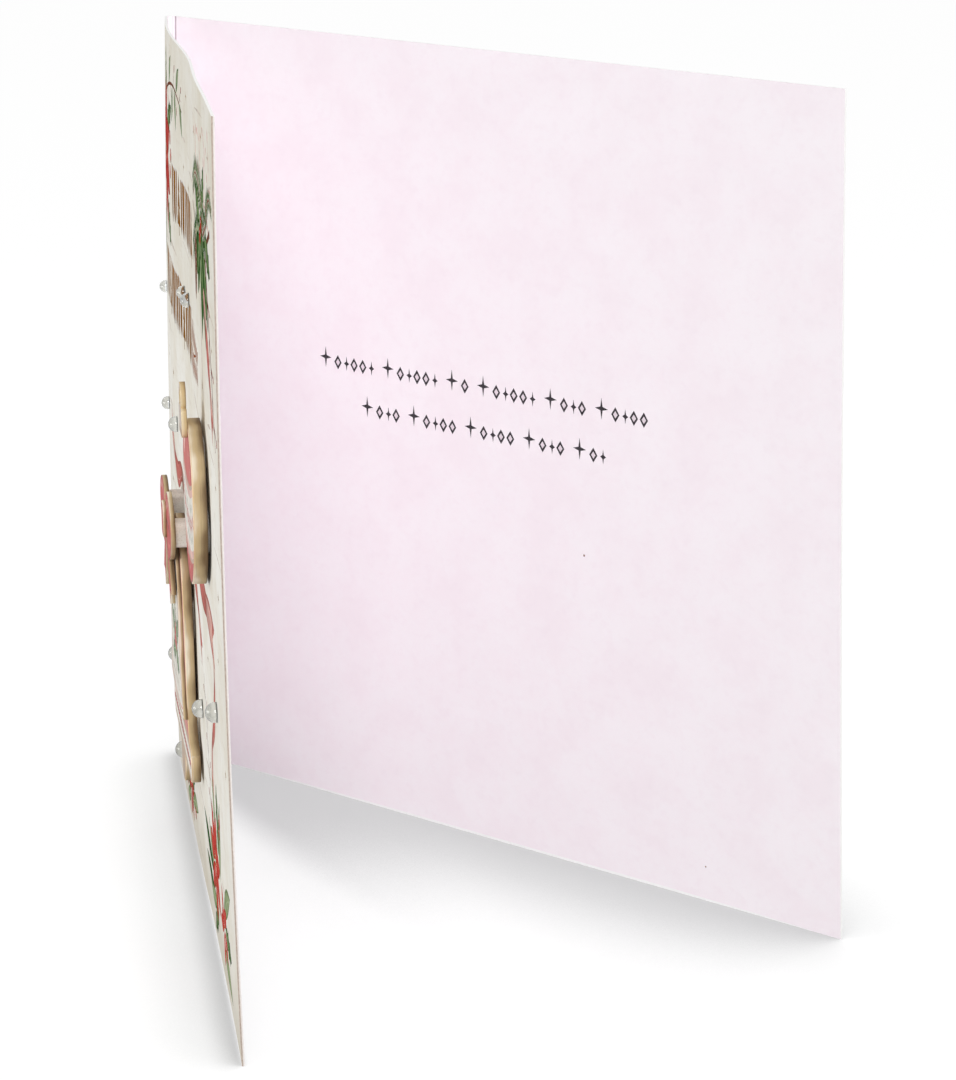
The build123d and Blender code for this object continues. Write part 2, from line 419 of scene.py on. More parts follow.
# %% Fold a flat place into space
def half_fold(rise):
    """At a share of the height: the fold's radius, the panels' angle and half the turn's length."""
    radius = FOLD_RADIUS_FOOT + (FOLD_RADIUS_HEAD - FOLD_RADIUS_FOOT) * rise
    curled = math.asin(PAGE_CURL / PANEL_WIDTH) * rise
    angle = OPENING - curled + math.asin(PAGE_BOW / PANEL_WIDTH) * 4 * rise * (1 - rise)
    return radius, angle, radius * (math.pi - angle) / 2


def folded(places, outward):
    """Points in space, in mm, of flat places (N x 2), this far outward of the stock's middle."""
    places = np.asarray(places, float)
    across, height = places[:, 0], places[:, 1]
    rise = height / CARD_HEIGHT
    radius, angle, half = half_fold(rise)
    width = PANEL_WIDTH - half
    lean = LEAN * rise + SHEET_BOW * 4 * rise * (1 - rise)
    centre_y = radius - lean

    share = np.clip((across - half) / width, 0, 1)
    cover_x = np.maximum(across - half, 0.0)
    cover_y = -outward + (cover_wave(share) - COVER_CURL * share) * rise - lean

    turned = np.clip((half - across) / (2 * half), 0, 1)
    pointing = -math.pi / 2 - turned * (math.pi - angle)
    fold_x = np.cos(pointing) * (radius + outward)
    fold_y = centre_y + np.sin(pointing) * (radius + outward)
    along = np.maximum(-across - half, 0.0)
    fold_x = fold_x + np.cos(angle) * along
    fold_y = fold_y + np.sin(angle) * along

    on_cover = across > half
    x = np.where(on_cover, cover_x, fold_x)
    y = np.where(on_cover, cover_y, fold_y)
    return np.column_stack((x, y, height))


def on_cover(across, height, outward=STOCK / 2):
    """A point of the cover, this far along it from where it leaves the fold."""
    _, _, half = half_fold(height / CARD_HEIGHT)
    return Vector(folded([(across + half, height)], outward)[0])


print("cover's free top corner in mm:", [round(v, 2) for v in on_cover(156.0, 150.0)])

# %% [markdown]
# ## Printed fields
#
# Print has no thickness, so it isn't laid on top of the sheet as more geometry. Instead the
# sheet's own surface is divided along the edges of every printed shape, and each field keeps
# its ink as an attribute. Blender's constrained triangulation does the dividing: it takes all
# the outlines at once and says which shapes each small triangle lies in, and the last shape
# printed wins. A few points of a grid are added so that the surface can bend.


# %% Divide a flat outline along its print
class Print:
    """Shapes in the order they are printed. An ink is a colour, or a function of the places."""

    def __init__(self, ground):
        self.shapes = []
        self.ground = ground

    def lay(self, outline, ink, foil=0.0):
        """Prints one shape. With no ink the paper stays bare there."""
        outline = np.asarray(outline, float)
        x, y = outline.T
        area = np.sum(x * np.roll(y, -1) - y * np.roll(x, -1))
        self.shapes.append((outline if area > 0 else outline[::-1], ink, foil))

    def divide(self, outline, grid, holes=()):
        """Places, triangles and each triangle's topmost shape, where 0 is the bare ground."""
        last_shape = len(self.shapes)
        loops = [np.asarray(outline, float)] + [shape[0] for shape in self.shapes]
        loops += [np.asarray(hole, float)[::-1] for hole in holes]
        points, faces = [], []
        for loop in loops:
            faces.append(list(range(len(points), len(points) + len(loop))))
            points.extend(Vector(place) for place in loop)
        points.extend(Vector(place) for place in grid)
        result = delaunay_2d_cdt(points, [], faces, 1, 1e-4, True)
        kept = [
            (face, max(owners))
            for face, owners in zip(result[2], result[5])
            if 0 in owners and max(owners) <= last_shape
        ]
        used = sorted({corner for face, _ in kept for corner in face})
        renumbered = {old: new for new, old in enumerate(used)}
        places = np.array([tuple(result[0][old]) for old in used])
        triangles = np.array([[renumbered[corner] for corner in face] for face, _ in kept])
        return places, triangles, np.array([owner for _, owner in kept])

    def bare(self, owners):
        """Which triangles no ink has touched, neither the ground's nor a shape's."""
        unprinted = [k + 1 for k, (_, ink, _) in enumerate(self.shapes) if ink is None]
        return np.isin(owners, unprinted)

    def inks(self, places, triangles, owners):
        """Colour and coverage, and foil, at each triangle's corners."""
        inks = np.zeros((len(triangles), 3, 4))
        foil = np.zeros(len(triangles))
        inks[:, :, :3] = self.ground[:3]
        for number, (_, ink, shine) in enumerate(self.shapes, start=1):
            inside = owners == number
            if ink is None or not inside.any():
                continue
            corners = places[triangles[inside]].reshape(-1, 2)
            tone = ink(corners) if callable(ink) else np.tile(ink[:3], (len(corners), 1))
            inks[inside, :, :3] = tone.reshape(-1, 3, 3)
            inks[inside, :, 3] = 1.0
            foil[inside] = shine
        return inks, foil


# %% [markdown]
# Two surfaces that end in the same outline, but with different points on it, are joined by a
# strip of triangles. Each point's share of the way round says which comes next.


# %% Follow an outline and join two rings
def loops_of(faces):
    """The corners round each free edge of these faces, in order, with the faces on the left."""
    edges = {edge for face in faces for edge in zip(face, face[1:] + face[:1])}
    following = {a: b for a, b in edges if (b, a) not in edges}
    loops = []
    while following:
        start, here = next(iter(following.items()))
        del following[start]
        loop = [start]
        while here != start:
            loop.append(here)
            here = following.pop(here)
        loops.append(loop)
    return loops


def zipped(first, second, first_at, second_at):
    """Triangles between two closed rings, whose corners are at these shares of the way round."""
    a = sorted(range(len(first)), key=lambda k: first_at[k])
    b = sorted(range(len(second)), key=lambda k: second_at[k])
    i, j, out = 0, 0, []
    while i < len(a) or j < len(b):
        next_a = first_at[a[i]] if i < len(a) else 2.0
        next_b = second_at[b[j]] if j < len(b) else 2.0
        here_a, here_b = first[a[(i - 1) % len(a)]], second[b[(j - 1) % len(b)]]
        if next_a <= next_b:
            out.append((here_a, first[a[i % len(a)]], here_b))
            i += 1
        else:
            out.append((here_a, second[b[j % len(b)]], here_b))
            j += 1
    return out


def share_round(outline, places):
    """How far round the outline each place lies, from 0 to 1."""
    outline = np.asarray(outline, float)
    ends = np.roll(outline, -1, axis=0)
    runs = ends - outline
    lengths = np.linalg.norm(runs, axis=1)
    starts = np.concatenate(([0.0], np.cumsum(lengths)[:-1]))
    total = lengths.sum()
    shares = []
    for place in places:
        along = np.clip(((place - outline) * runs).sum(1) / np.maximum(lengths**2, 1e-12), 0, 1)
        miss = np.linalg.norm(outline + runs * along[:, None] - place, axis=1)
        k = int(miss.argmin())
        shares.append(((starts[k] + along[k] * lengths[k]) / total) % 1.0)
    return np.array(shares)


# %% [markdown]
# ## Making a piece
#
# Every piece of the card goes through one function, which builds the mesh, gives it its
# finishes, marks the corners that are sharp on the real thing, and puts it on the card's body.


# %% Build one mesh piece
SHARP_ANGLE = math.radians(38)


def make_piece(name, points, faces, finishes, finish_of_face, slot, replaced_node):
    """A piece from points in mm. The faces' finishes are numbers into the list of finishes."""
    mesh = bpy.data.meshes.new(name)
    mesh.from_pydata([tuple(np.array(p) * MM) for p in points], [], [list(f) for f in faces])
    for finish in finishes:
        mesh.materials.append(finish.material)
    mesh.polygons.foreach_set("material_index", np.array(finish_of_face, np.int32))
    mesh.polygons.foreach_set("use_smooth", np.ones(len(faces), bool))
    mesh.set_sharp_from_angle(angle=SHARP_ANGLE)
    piece = bpy.data.objects.new(name, mesh)
    bpy.context.scene.collection.objects.link(piece)
    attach(piece, "root")
    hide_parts(replaced_node)
    return piece


def add_attribute(piece, name, kind, domain, values):
    """A value that each point, face or face corner keeps, for its finish to read."""
    field = {"FLOAT_COLOR": "color", "FLOAT_VECTOR": "vector", "FLOAT": "value"}[kind]
    layer = piece.data.attributes.new(name, kind, domain)
    layer.data.foreach_set(field, np.asarray(values, np.float32).ravel())


# %% [markdown]
# ## The print's motifs
#
# Each motif is a short function that gives outlines in flat millimetres: a circle, a leaf along
# an axis, a holly leaf with its points.


# %% Draw circles and leaves
def circle(centre, radius, corners=18):
    turns = np.linspace(0, math.tau, corners, endpoint=False)
    return np.column_stack((np.cos(turns), np.sin(turns))) * radius + centre


def axis_frame(base, tip):
    base, tip = np.array(base, float), np.array(tip, float)
    along = tip - base
    return base, along, np.array((-along[1], along[0])) / np.linalg.norm(along)


def spindle(middle, sideways, half):
    """An outline to both sides of a middle line whose ends are points."""
    left, rightward = middle + sideways * half[:, None], middle - sideways * half[:, None]
    return np.vstack((left, rightward[-2:0:-1]))


def leaf(base, tip, width, bend=0.0, fullness=0.9):
    base, along, sideways = axis_frame(base, tip)
    share = np.linspace(0, 1, 9)
    middle = base + np.outer(share, along) + np.outer(np.sin(share * math.pi) * bend, sideways)
    return spindle(middle, sideways, np.sin(share**fullness * math.pi) * width / 2)


def holly(base, tip, width):
    """A holly leaf: between one point and the next its edge curves in."""
    base, along, sideways = axis_frame(base, tip)
    points, steps = 4, 5
    share = np.linspace(0, 1, points * steps + 1)
    phase = (share * points) % 1.0
    hollow = 1 - 0.42 * np.sin(phase * math.pi) ** 0.8
    half = np.sin(np.clip(share * 0.94 + 0.05, 0, 1) * math.pi) ** 0.75 * width / 2 * hollow
    half[0] = half[-1] = 0.0
    return spindle(base + np.outer(share, along), sideways, half)


# %% [markdown]
# A brush stroke follows a smooth curve through a few points, and its width changes on the way.
# Stars and lozenges fill the open ground and the rows.


# %% Draw brush strokes, stars and lozenges
def smooth_line(points, steps=6):
    """A curve through the points, as a Catmull-Rom spline."""
    points = np.array(points, float)
    ends = np.vstack((2 * points[0] - points[1], points, 2 * points[-1] - points[-2]))
    out = []
    for k in range(1, len(ends) - 2):
        a, b, c, d = ends[k - 1 : k + 3]
        for t in np.arange(steps) / steps:
            out.append(
                0.5 * (2 * b + (c - a) * t + (2 * a - 5 * b + 4 * c - d) * t**2)
                + 0.5 * (3 * b - a - 3 * c + d) * t**3
            )
    return np.array(out + [points[-1]])


def headings(line):
    """The direction of a line at each of its points, and the direction to its left."""
    heading = np.gradient(line, axis=0)
    heading /= np.linalg.norm(heading, axis=1)[:, None]
    return heading, np.column_stack((-heading[:, 1], heading[:, 0]))


def stroke(points, start_width, end_width, middle_width=None, steps=6):
    """A brush stroke along a curve, whose width changes from its start to its end."""
    line = smooth_line(points, steps)
    _, sideways = headings(line)
    share = np.linspace(0, 1, len(line))
    middle_width = (start_width + end_width) / 2 if middle_width is None else middle_width
    width = np.interp(share, (0, 0.5, 1), (start_width, middle_width, end_width))
    aside = sideways * width[:, None] / 2
    return np.vstack((line + aside, (line - aside)[::-1]))


def star(centre, outer, inner, points):
    turns = np.arange(2 * points) * math.pi / points + math.pi / 2
    radii = np.where(np.arange(2 * points) % 2 == 0, outer, inner)
    return np.column_stack((np.cos(turns), np.sin(turns))) * radii[:, None] + centre


def tall_star(centre, half_width, half_height, waist=0.24):
    return star((0.0, 0.0), 1.0, waist, 4) * (half_width, half_height) + centre


def lozenge(centre, half_width, half_height):
    corners = [(half_width, 0), (0, half_height), (-half_width, 0), (0, -half_height)]
    return np.array(corners) + centre


# %% [markdown]
# A leaf is darkest at its base and lightest at its tip, as a brush leaves it, so its ink is a
# function of the place. The inks are named once, and a tone is an ink made lighter or darker.


# %% Mix the inks
def toned(shade, factor):
    """A lighter or darker tone of a colour."""
    return (*(min(1.0, part * factor) for part in shade[:3]), 1.0)


def faded(start, end, near, far):
    """An ink that runs from one colour at a place to another at a second place."""
    start, axis = np.array(start, float), np.array(end, float) - np.array(start, float)
    near, far = np.array(near[:3]), np.array(far[:3])

    def ink(places):
        share = np.clip((places - start) @ axis / (axis @ axis), 0, 1)[:, None]
        return near + (far - near) * share

    return ink


GOLD = colour(164, 120, 62)
OCHRE = colour(148, 100, 32)
COPPER = colour(160, 96, 66)
RED = colour(196, 58, 52)
DEEP_RED = colour(146, 40, 42)
LIGHT_RED = colour(226, 100, 90)
ROSE = colour(214, 130, 122)
BLUSH = colour(238, 190, 180)
GREEN = colour(66, 104, 54)
DEEP_GREEN = colour(44, 76, 38)
SAGE = colour(134, 156, 108)
PALE_SAGE = colour(184, 196, 160)
TWIG = colour(128, 82, 66)
PALE_TWIG = colour(176, 132, 112)
CREAM = colour(247, 243, 233)
WHITE = colour(252, 251, 249)
CHARCOAL = colour(58, 54, 58)
print("gold, as Blender mixes it:", [round(part, 3) for part in GOLD[:3]])

# %% [markdown]
# Larger motifs are layers of these outlines: a dark shape, a lighter one inside it, and a vein.
# That is how a printed watercolour reads from arm's length, with darker rims and pale middles.


# %% Layer the outlines into leaves, berries and flowers
def paint_leaf(sheet, base, tip, width, dark, light, bend=0.0):
    sheet.lay(leaf(base, tip, width, bend), dark)
    base, along, sideways = axis_frame(base, tip)
    inner = leaf(base + along * 0.05, base + along * 0.93, width * 0.78, bend)
    sheet.lay(inner, faded(base, tip, toned(dark, 1.35), light))
    vein = [base, base + along * 0.5 + sideways * bend, base + along * 0.88]
    sheet.lay(stroke(vein, width * 0.09, width * 0.02), toned(light, 1.15))


def paint_holly(sheet, base, tip, width, dark, light):
    sheet.lay(holly(base, tip, width), dark)
    base, along, sideways = axis_frame(base, tip)
    inner = holly(base + along * 0.06, base + along * 0.94, width * 0.8)
    sheet.lay(inner, faded(base, tip, light, toned(dark, 1.5)))
    rib = [base, base + along * 0.5, base + along * 0.92]
    sheet.lay(stroke(rib, width * 0.08, width * 0.02), toned(light, 1.4))
    for share in (0.3, 0.5, 0.7):
        for side in (-1, 1):
            start = base + along * share
            end = start + along * 0.13 + sideways * side * width * 0.26
            vein = [start, (start + end) / 2, end]
            sheet.lay(stroke(vein, width * 0.04, width * 0.01), toned(light, 1.3))


def paint_berry(sheet, centre, radius):
    """A round berry, with its light and its gleam towards the upper left."""
    centre = np.array(centre, float)
    sheet.lay(circle(centre, radius), DEEP_RED)
    sheet.lay(circle(centre + radius * np.array((-0.08, 0.1)), radius * 0.82), RED)
    sheet.lay(circle(centre + radius * np.array((-0.18, 0.22)), radius * 0.5, 12), toned(RED, 1.35))
    sheet.lay(circle(centre + radius * np.array((-0.32, 0.38)), radius * 0.18, 8), WHITE)


def paint_flower(sheet, centre, size, petals=6, turn=0.0, dark=DEEP_RED, light=LIGHT_RED):
    """A winter rose or poinsettia: two rings of pointed petals and gold stamens."""
    centre = np.array(centre, float)
    for ring, (reach, count, lag) in enumerate(((1.0, petals, 0.0), (0.66, petals - 1, 0.4))):
        for k in range(count):
            angle = turn + lag + k * math.tau / count
            heading = np.array((math.cos(angle), math.sin(angle)))
            petal = heading * size * reach
            base, tip = centre + heading * size * 0.06, centre + petal
            sheet.lay(leaf(base, tip, size * 0.42 * reach, 0.03 * size, 1.15), dark)
            inner = leaf(base, centre + petal * 0.93, size * 0.34 * reach, 0.03 * size, 1.15)
            pale = toned(light, 1.0 + 0.12 * ring)
            sheet.lay(inner, faded(base, tip, toned(dark, 1.2), pale))
            vein = [base, centre + petal * 0.5, centre + petal * 0.85]
            sheet.lay(stroke(vein, size * 0.025, size * 0.008), toned(light, 1.25))
    for k in range(7):
        heading = np.array((math.cos(k * 0.9 + turn), math.sin(k * 0.9 + turn)))
        sheet.lay(circle(centre + heading * size * 0.1 * (k % 2 + 0.6), size * 0.045, 8), GOLD, 0.6)


# %% [markdown]
# A fir branch is hundreds of needles, which are too many to place by hand. They stand at even
# steps along the twig, each with a small random spread and length, in three layers from dark to
# light. Every branch has its own seed, so it comes out the same each time.


# %% Grow a fir branch
NEEDLE_SPACING = 0.55
FIR_TWIG = 0.7


def rotated(heading, angle):
    x, y = heading
    return np.array(
        (x * math.cos(angle) - y * math.sin(angle), x * math.sin(angle) + y * math.cos(angle))
    )


def paint_fir(sheet, points, reach, seed, light=SAGE):
    """A fir branch: a twig with needles to both sides, shorter towards its tip."""
    line = smooth_line(points, 12)
    runs = np.linalg.norm(np.diff(line, axis=0), axis=1)
    reached = np.concatenate(([0.0], np.cumsum(runs)))
    random = np.random.default_rng(seed)

    def point_at(distance):
        return np.array([np.interp(distance, reached, line[:, k]) for k in (0, 1)])

    for shade, longer, thick in ((DEEP_GREEN, 1.0, 0.34), (GREEN, 0.86, 0.26), (light, 0.7, 0.2)):
        for at in np.arange(NEEDLE_SPACING, reached[-1], NEEDLE_SPACING):
            place = point_at(at)
            ahead = point_at(at + 0.5) - place
            if np.linalg.norm(ahead) < 1e-6:
                continue
            heading = ahead / np.linalg.norm(ahead)
            share = at / reached[-1]
            length = reach * longer * (1.0 - 0.55 * share) * random.uniform(0.75, 1.1)
            for side in (-1, 1):
                spread = side * random.uniform(0.55, 0.95)
                turned = rotated(heading, spread)
                sideways = np.array((-turned[1], turned[0])) * thick / 2
                tip = place + turned * length
                middle = place + turned * length * 0.45
                sheet.lay([place, middle - sideways, tip, middle + sideways], shade)
    sheet.lay(stroke(points, FIR_TWIG, FIR_TWIG * 0.3, steps=8), TWIG)
    lift = [np.array(p) + (0.0, FIR_TWIG * 0.12) for p in points]
    sheet.lay(stroke(lift, FIR_TWIG * 0.35, FIR_TWIG * 0.1, steps=8), PALE_TWIG)


# %% [markdown]
# The cone is drawn from its stem down: rows of round scales on a dark ground, each row over the
# one above it, so that only their rims show. A bare twig carries buds on short shoots, and how
# far each one spreads is left to chance, with a seed for each twig.


# %% Draw a cone and a bare twig
def paint_cone(sheet, top, angle, length, width):
    """A hanging cone: rows of rounded scales, each lapping over the row above it."""
    top = np.array(top, float)
    down = np.array((math.sin(angle), -math.cos(angle)))
    sideways = np.array((-down[1], down[0]))
    sheet.lay(leaf(top, top + down * length, width, fullness=0.75), toned(TWIG, 0.5))
    rows = 7
    for row in range(rows):
        share = (row + 0.4) / rows
        span = math.sin(min(1.0, share * 0.9 + 0.12) * math.pi) ** 0.7 * width * 0.5
        count = 4 if row % 2 else 3
        for k in range(count):
            offset = (k - (count - 1) / 2) / (count / 2) * span * 0.85
            centre = top + down * length * share + sideways * offset
            size = width * 0.17
            sheet.lay(circle(centre, size, 12), toned(TWIG, 0.62))
            sheet.lay(circle(centre + down * size * 0.3, size * 0.72, 12), PALE_TWIG)
            sheet.lay(circle(centre + down * size * 0.55, size * 0.3, 8), toned(CREAM, 0.85))


def paint_twig(sheet, points, width, shoots, seed, bark=TWIG, bud=ROSE):
    """A bare twig with small buds on short shoots to both sides."""
    sheet.lay(stroke(points, width, width * 0.35, steps=8), bark)
    line = smooth_line(points, 10)
    random = np.random.default_rng(seed)
    for k in range(shoots):
        at = int(len(line) * (k + 0.7) / (shoots + 0.7))
        heading = line[min(at + 1, len(line) - 1)] - line[at - 1]
        heading /= np.linalg.norm(heading)
        side = 1 if k % 2 else -1
        spread = side * random.uniform(0.7, 1.0)
        turned = rotated(heading, spread)
        length = random.uniform(2.6, 4.4)
        end = line[at] + turned * length
        shoot = [line[at], line[at] + turned * length * 0.5, end]
        sheet.lay(stroke(shoot, width * 0.5, width * 0.25), bark)
        paint_leaf(sheet, end, end + turned * random.uniform(1.6, 2.6), 1.2, bark, bud)


# %% [markdown]
# A band of ornament is a row that repeats: one small fir tree, then icicles of four widths. The
# icicles end a little higher or lower by chance, so the row looks drawn by hand.


# %% Draw a band of fir trees and icicles
def fir_tree(centre, width, height):
    """A plain fir tree in three steps, for the gold band."""
    x, y = centre
    foot = y - height / 2
    outline = [
        (-0.08, 0.0), (0.08, 0.0), (0.08, 0.16), (0.5, 0.16), (0.2, 0.44), (0.38, 0.44),
        (0.14, 0.7), (0.26, 0.7), (0.0, 1.0),
    ]
    left = [(-px, py) for px, py in outline[-2:1:-1]]
    return np.array([(x + px * width, foot + py * height) for px, py in outline + left])


def icicle(x, foot, top, width):
    """An icicle that hangs in the gold band: square at its top, with a slanting point below."""
    half = width / 2
    outline = [
        (x - half, top), (x + half, top - 0.3), (x + half * 0.9, foot + 1.4),
        (x + half * 0.3, foot), (x - half * 0.8, foot + 1.9),
    ]
    return np.array(outline)


def gold_band(sheet, start, end, foot, height, shade):
    """A row of plain ornaments, which repeats: a fir tree, then icicles broad and slim by turns.
    Each icicle stands on a white one that is a little wider, as a painted highlight at its side."""
    across, middle, kind = start, foot + height / 2, 0
    worn = np.random.default_rng(int(start * 10))
    while across < end - 3:
        if kind % 7 == 3:
            sheet.lay(fir_tree((across + 3.0, middle), 6.0, height), shade, 1.0)
            across += 7.0
        else:
            width = (3.0, 4.4, 2.2, 3.6)[kind % 4]
            low, high = foot + worn.uniform(0.0, 1.3), foot + height - worn.uniform(0.0, 0.8)
            ends = (across, high), (across, low)
            middle_x = across + width / 2
            # Painted highlight: a wider white icicle under each gold one.
            sheet.lay(icicle(middle_x + 0.2, low - 0.4, high + 0.3, width + 1.1), WHITE)
            gold = faded(*ends, toned(shade, 1.16), toned(shade, 0.86))
            sheet.lay(icicle(middle_x, low, high, width), gold, 1.0)
            across += width + worn.uniform(0.8, 1.4)
        kind += 1


# %% [markdown]
# ## The cover's print
#
# The cover is composed like a winter wreath that has come apart: a fir branch with a cone at
# the upper right, from which the bauble hangs by a printed cord, two bands of gold icicles and
# fir trees at the left, red ribbons behind the bell, and holly and red flowers in the corners.
# The ground is cream, with long, faint brush marks of a brown wash. What is painted later covers
# what is under it, so the order runs from the ground up.

# %% Start the outside of the sheet with its brush marks
FOLD_TO_COVER = 1.5  # from the middle of the fold to where the cover starts


def on_sheet(*places):
    """Places on the cover, across and up, as places on the flat sheet."""
    return [(across + FOLD_TO_COVER, height) for across, height in places]


def paint_each(paint, leaves, dark, light):
    """Paints one leaf for every base, tip and width in the list."""
    for base, tip, width in leaves:
        paint(outside, *on_sheet(base, tip), width, dark, light)


def paint_berries(berries):
    for centre, radius in berries:
        paint_berry(outside, *on_sheet(centre), radius)


outside = Print(CREAM)
random = np.random.default_rng(7)
wash = np.array(toned(PALE_TWIG, 1.15)) - CREAM
for _ in range(64):
    x, z = random.uniform(6, 148), random.uniform(4, 146)
    length, rise = random.uniform(5, 22), random.uniform(-1.2, 1.2)
    pale = CREAM + wash * random.uniform(0.10, 0.34)
    mark = on_sheet((x, z), (x + length / 2, z + rise * 0.7), (x + length, z + rise))
    outside.lay(stroke(mark, 0.15, 0.1, random.uniform(0.25, 0.8)), pale)
print("brush marks:", len(outside.shapes))

# %% [markdown]
# The branch is built as a florist builds one: bare twigs and a long fir spray first, broad leaves
# that hang from its middle, two shorter sprays, the cone, and holly with berries on top.

# %% Paint the upper right branch, its cone and the cord that the bauble hangs from
cord = on_sheet((119, 101.5), (119.3, 108), (118, 116), (117.2, 124))
outside.lay(stroke(cord, 0.5, 0.5), COPPER, 0.8)
paint_twig(outside, on_sheet((146, 131), (132, 127), (114, 126), (98, 129)), 1.3, 7, 3)
hanging_twig = on_sheet((132, 126), (139, 116), (145, 107), (150, 98))
paint_twig(outside, hanging_twig, 1.6, 6, 4, toned(DEEP_RED, 0.7), ROSE)
for number, points in enumerate((
    ((118, 130), (112, 137), (108, 144)), ((124, 130), (123, 137), (119, 145)),
    ((130, 131), (134, 138), (133, 145)), ((136, 130), (143, 136), (147, 143)),
)):
    paint_twig(outside, on_sheet(*points), 0.7, 4, 40 + number, BLUSH, ROSE)
paint_fir(outside, on_sheet((137, 131), (124, 127), (110, 126), (98, 121)), 8.5, 11, light=GREEN)
for base, tip in (
    ((121, 129), (113, 116)), ((125, 130), (122, 110)), ((126, 127), (131, 110)),
    ((118, 126), (106, 120)),
):
    paint_each(paint_leaf, [(base, tip, 8.2)], PALE_SAGE, SAGE)
    paint_each(paint_leaf, [(base, tip, 5.6)], toned(DEEP_GREEN, 1.1), toned(GREEN, 1.2))
paint_fir(outside, on_sheet((128, 131), (118, 134.5), (108, 135), (99, 132)), 7.0, 13)
paint_fir(outside, on_sheet((134, 131), (141, 135), (147, 136), (152, 135)), 4.5, 14)
paint_cone(outside, *on_sheet((108, 124)), -0.25, 10.0, 6.6)
branch_holly = (
    ((121, 127), (111, 119), 6.5), ((122, 127), (126, 114), 7.0), ((119, 129), (108, 133), 6.6),
    ((128, 126), (137, 114), 6.6), ((126, 131), (131, 139), 6.0), ((132, 128), (145, 124), 6.2),
)
paint_each(paint_holly, branch_holly, DEEP_GREEN, SAGE)
paint_berries((((120, 126.5), 1.6), ((123, 128.6), 1.6)))
print("shapes with the branch:", len(outside.shapes))

# %% [markdown]
# A thin spray of small leaves runs along the head. The large red flower sits near the fold, with
# holly behind its petals and three berries beside it.

# %% Paint a spray along the head of the cover, and a large flower at the upper left
paint_twig(outside, on_sheet((12, 135), (28, 140), (44, 141.5), (62, 139)), 0.9, 8, 5)
for base, tip in (
    ((24, 139), (20, 145)), ((33, 141), (38, 146.5)), ((42, 141.5), (39, 134.5)),
    ((50, 141), (56, 146)), ((57, 140), (63, 134.5)), ((46, 141.5), (49, 134)),
):
    paint_leaf(outside, *on_sheet(base, tip), 2.8, GREEN, PALE_SAGE, 0.4)
corner_holly = (
    ((24, 132), (38, 137), 6.4), ((18, 136), (22, 147), 6.4), ((8, 116), (4, 103), 6.4),
    ((24, 118), (32, 110.5), 6.4),
)
paint_each(paint_holly, corner_holly, DEEP_GREEN, SAGE)
petal_inks = toned(DEEP_RED, 1.3), toned(LIGHT_RED, 0.9)
paint_flower(outside, *on_sheet((17, 126.5)), 15.5, 8, 0.35, *petal_inks)
paint_berries((((33.6, 131.0), 1.4), ((35.4, 127.8), 1.4), ((33.0, 124.6), 1.4)))

# %% [markdown]
# The bands are gold ink, and each icicle has a painted white highlight that is set off a little
# to the side.

# %% Paint two bands of gold ornament, and a copper spray that ends the second
gold_band(outside, 38 + FOLD_TO_COVER, 92 + FOLD_TO_COVER, 116.0, 11.4, OCHRE)
gold_band(outside, 12 + FOLD_TO_COVER, 85 + FOLD_TO_COVER, 96.8, 11.6, OCHRE)
SPRAY = 102.0
stem = on_sheet((83, SPRAY), (90, SPRAY - 0.8), (98, SPRAY + 0.6), (105, SPRAY - 0.4))
outside.lay(stroke(stem, 0.6, 0.4), COPPER, 0.8)
for number, across in enumerate(np.arange(84.0, 104.0, 2.7)):
    for side in (-1, 1):
        start = (across + (side > 0) * 1.2, SPRAY + side * 0.2)
        tip = (start[0] + 2.6, SPRAY + side * (5.2 - 0.3 * number))
        outside.lay(leaf(*on_sheet(start, tip), 1.7, side * 0.25), COPPER, 0.8)
print("shapes with the bands:", len(outside.shapes))

# %% [markdown]
# A printed ribbon is drawn as it would fall: a line of short quads that narrow where it turns
# edge-on, pink on its one side and rose on its other, with a notch cut into its free end.


# %% Paint the ribbons
def paint_ribbon(sheet, points, width):
    line = smooth_line(on_sheet(*points), 10)
    heading, sideways = headings(line)
    share = np.linspace(0, 1, len(line))[:, None]
    tilt = np.cos(share * math.tau * 1.05)
    half = width / 2 * (0.55 + 0.45 * np.abs(tilt)) * np.minimum(1.0, 0.35 + share * 3)
    upper, lower = line + sideways * half, line - sideways * half
    notch = line[-1] - heading[-1] * width * 0.55
    sheet.lay(np.vstack((upper, notch, lower[::-1])), toned(ROSE, 0.78))
    inner_notch = notch - heading[-1] * 0.4
    inner_upper, inner_lower = upper * 0.88 + lower * 0.12, lower * 0.88 + upper * 0.12
    for k in range(len(line) - 4):
        quad = [inner_upper[k], inner_lower[k], inner_lower[k + 1], inner_upper[k + 1]]
        facing = float(tilt[k, 0])
        turned = BLUSH if facing > 0 else ROSE
        shade = np.array(turned[:3]) * (0.72 + 0.38 * abs(facing))
        sheet.lay(quad, (*shade, 1.0))
    for edge in (upper, lower):
        shoulder = edge[-5] * 0.88 + line[-5] * 0.12
        point = edge[-1] * 0.82 + line[-1] * 0.18 - heading[-1] * 0.3
        sheet.lay([inner_notch, line[-5], shoulder, point], ROSE)
    sheen = (line + sideways * half * 0.45)[6:-6:5]
    sheet.lay(stroke(sheen, 0.16, 0.16), BLUSH)


for points, width in (
    (((63, 67), (76, 69.5), (90, 65.5), (104, 63.5), (118, 63.2), (131, 61)), 7.4),
    (((126, 62.5), (128, 55), (123, 46), (115, 39), (111.5, 29)), 3.6),
    (((63, 65), (72, 60.5), (83, 56), (94, 49)), 4.6),
    (((127, 119), (132, 113), (138, 107), (145, 99)), 5.0),
    (((59, 66), (48, 70.5), (37, 68), (27, 70), (17, 75)), 5.0),
):
    paint_ribbon(outside, points, width)
print("shapes with the ribbons:", len(outside.shapes))

# %% [markdown]
# The foot has two groups, a small one near the fold and a large one under the bauble, each with
# leaves first, then holly, then flowers and berries.

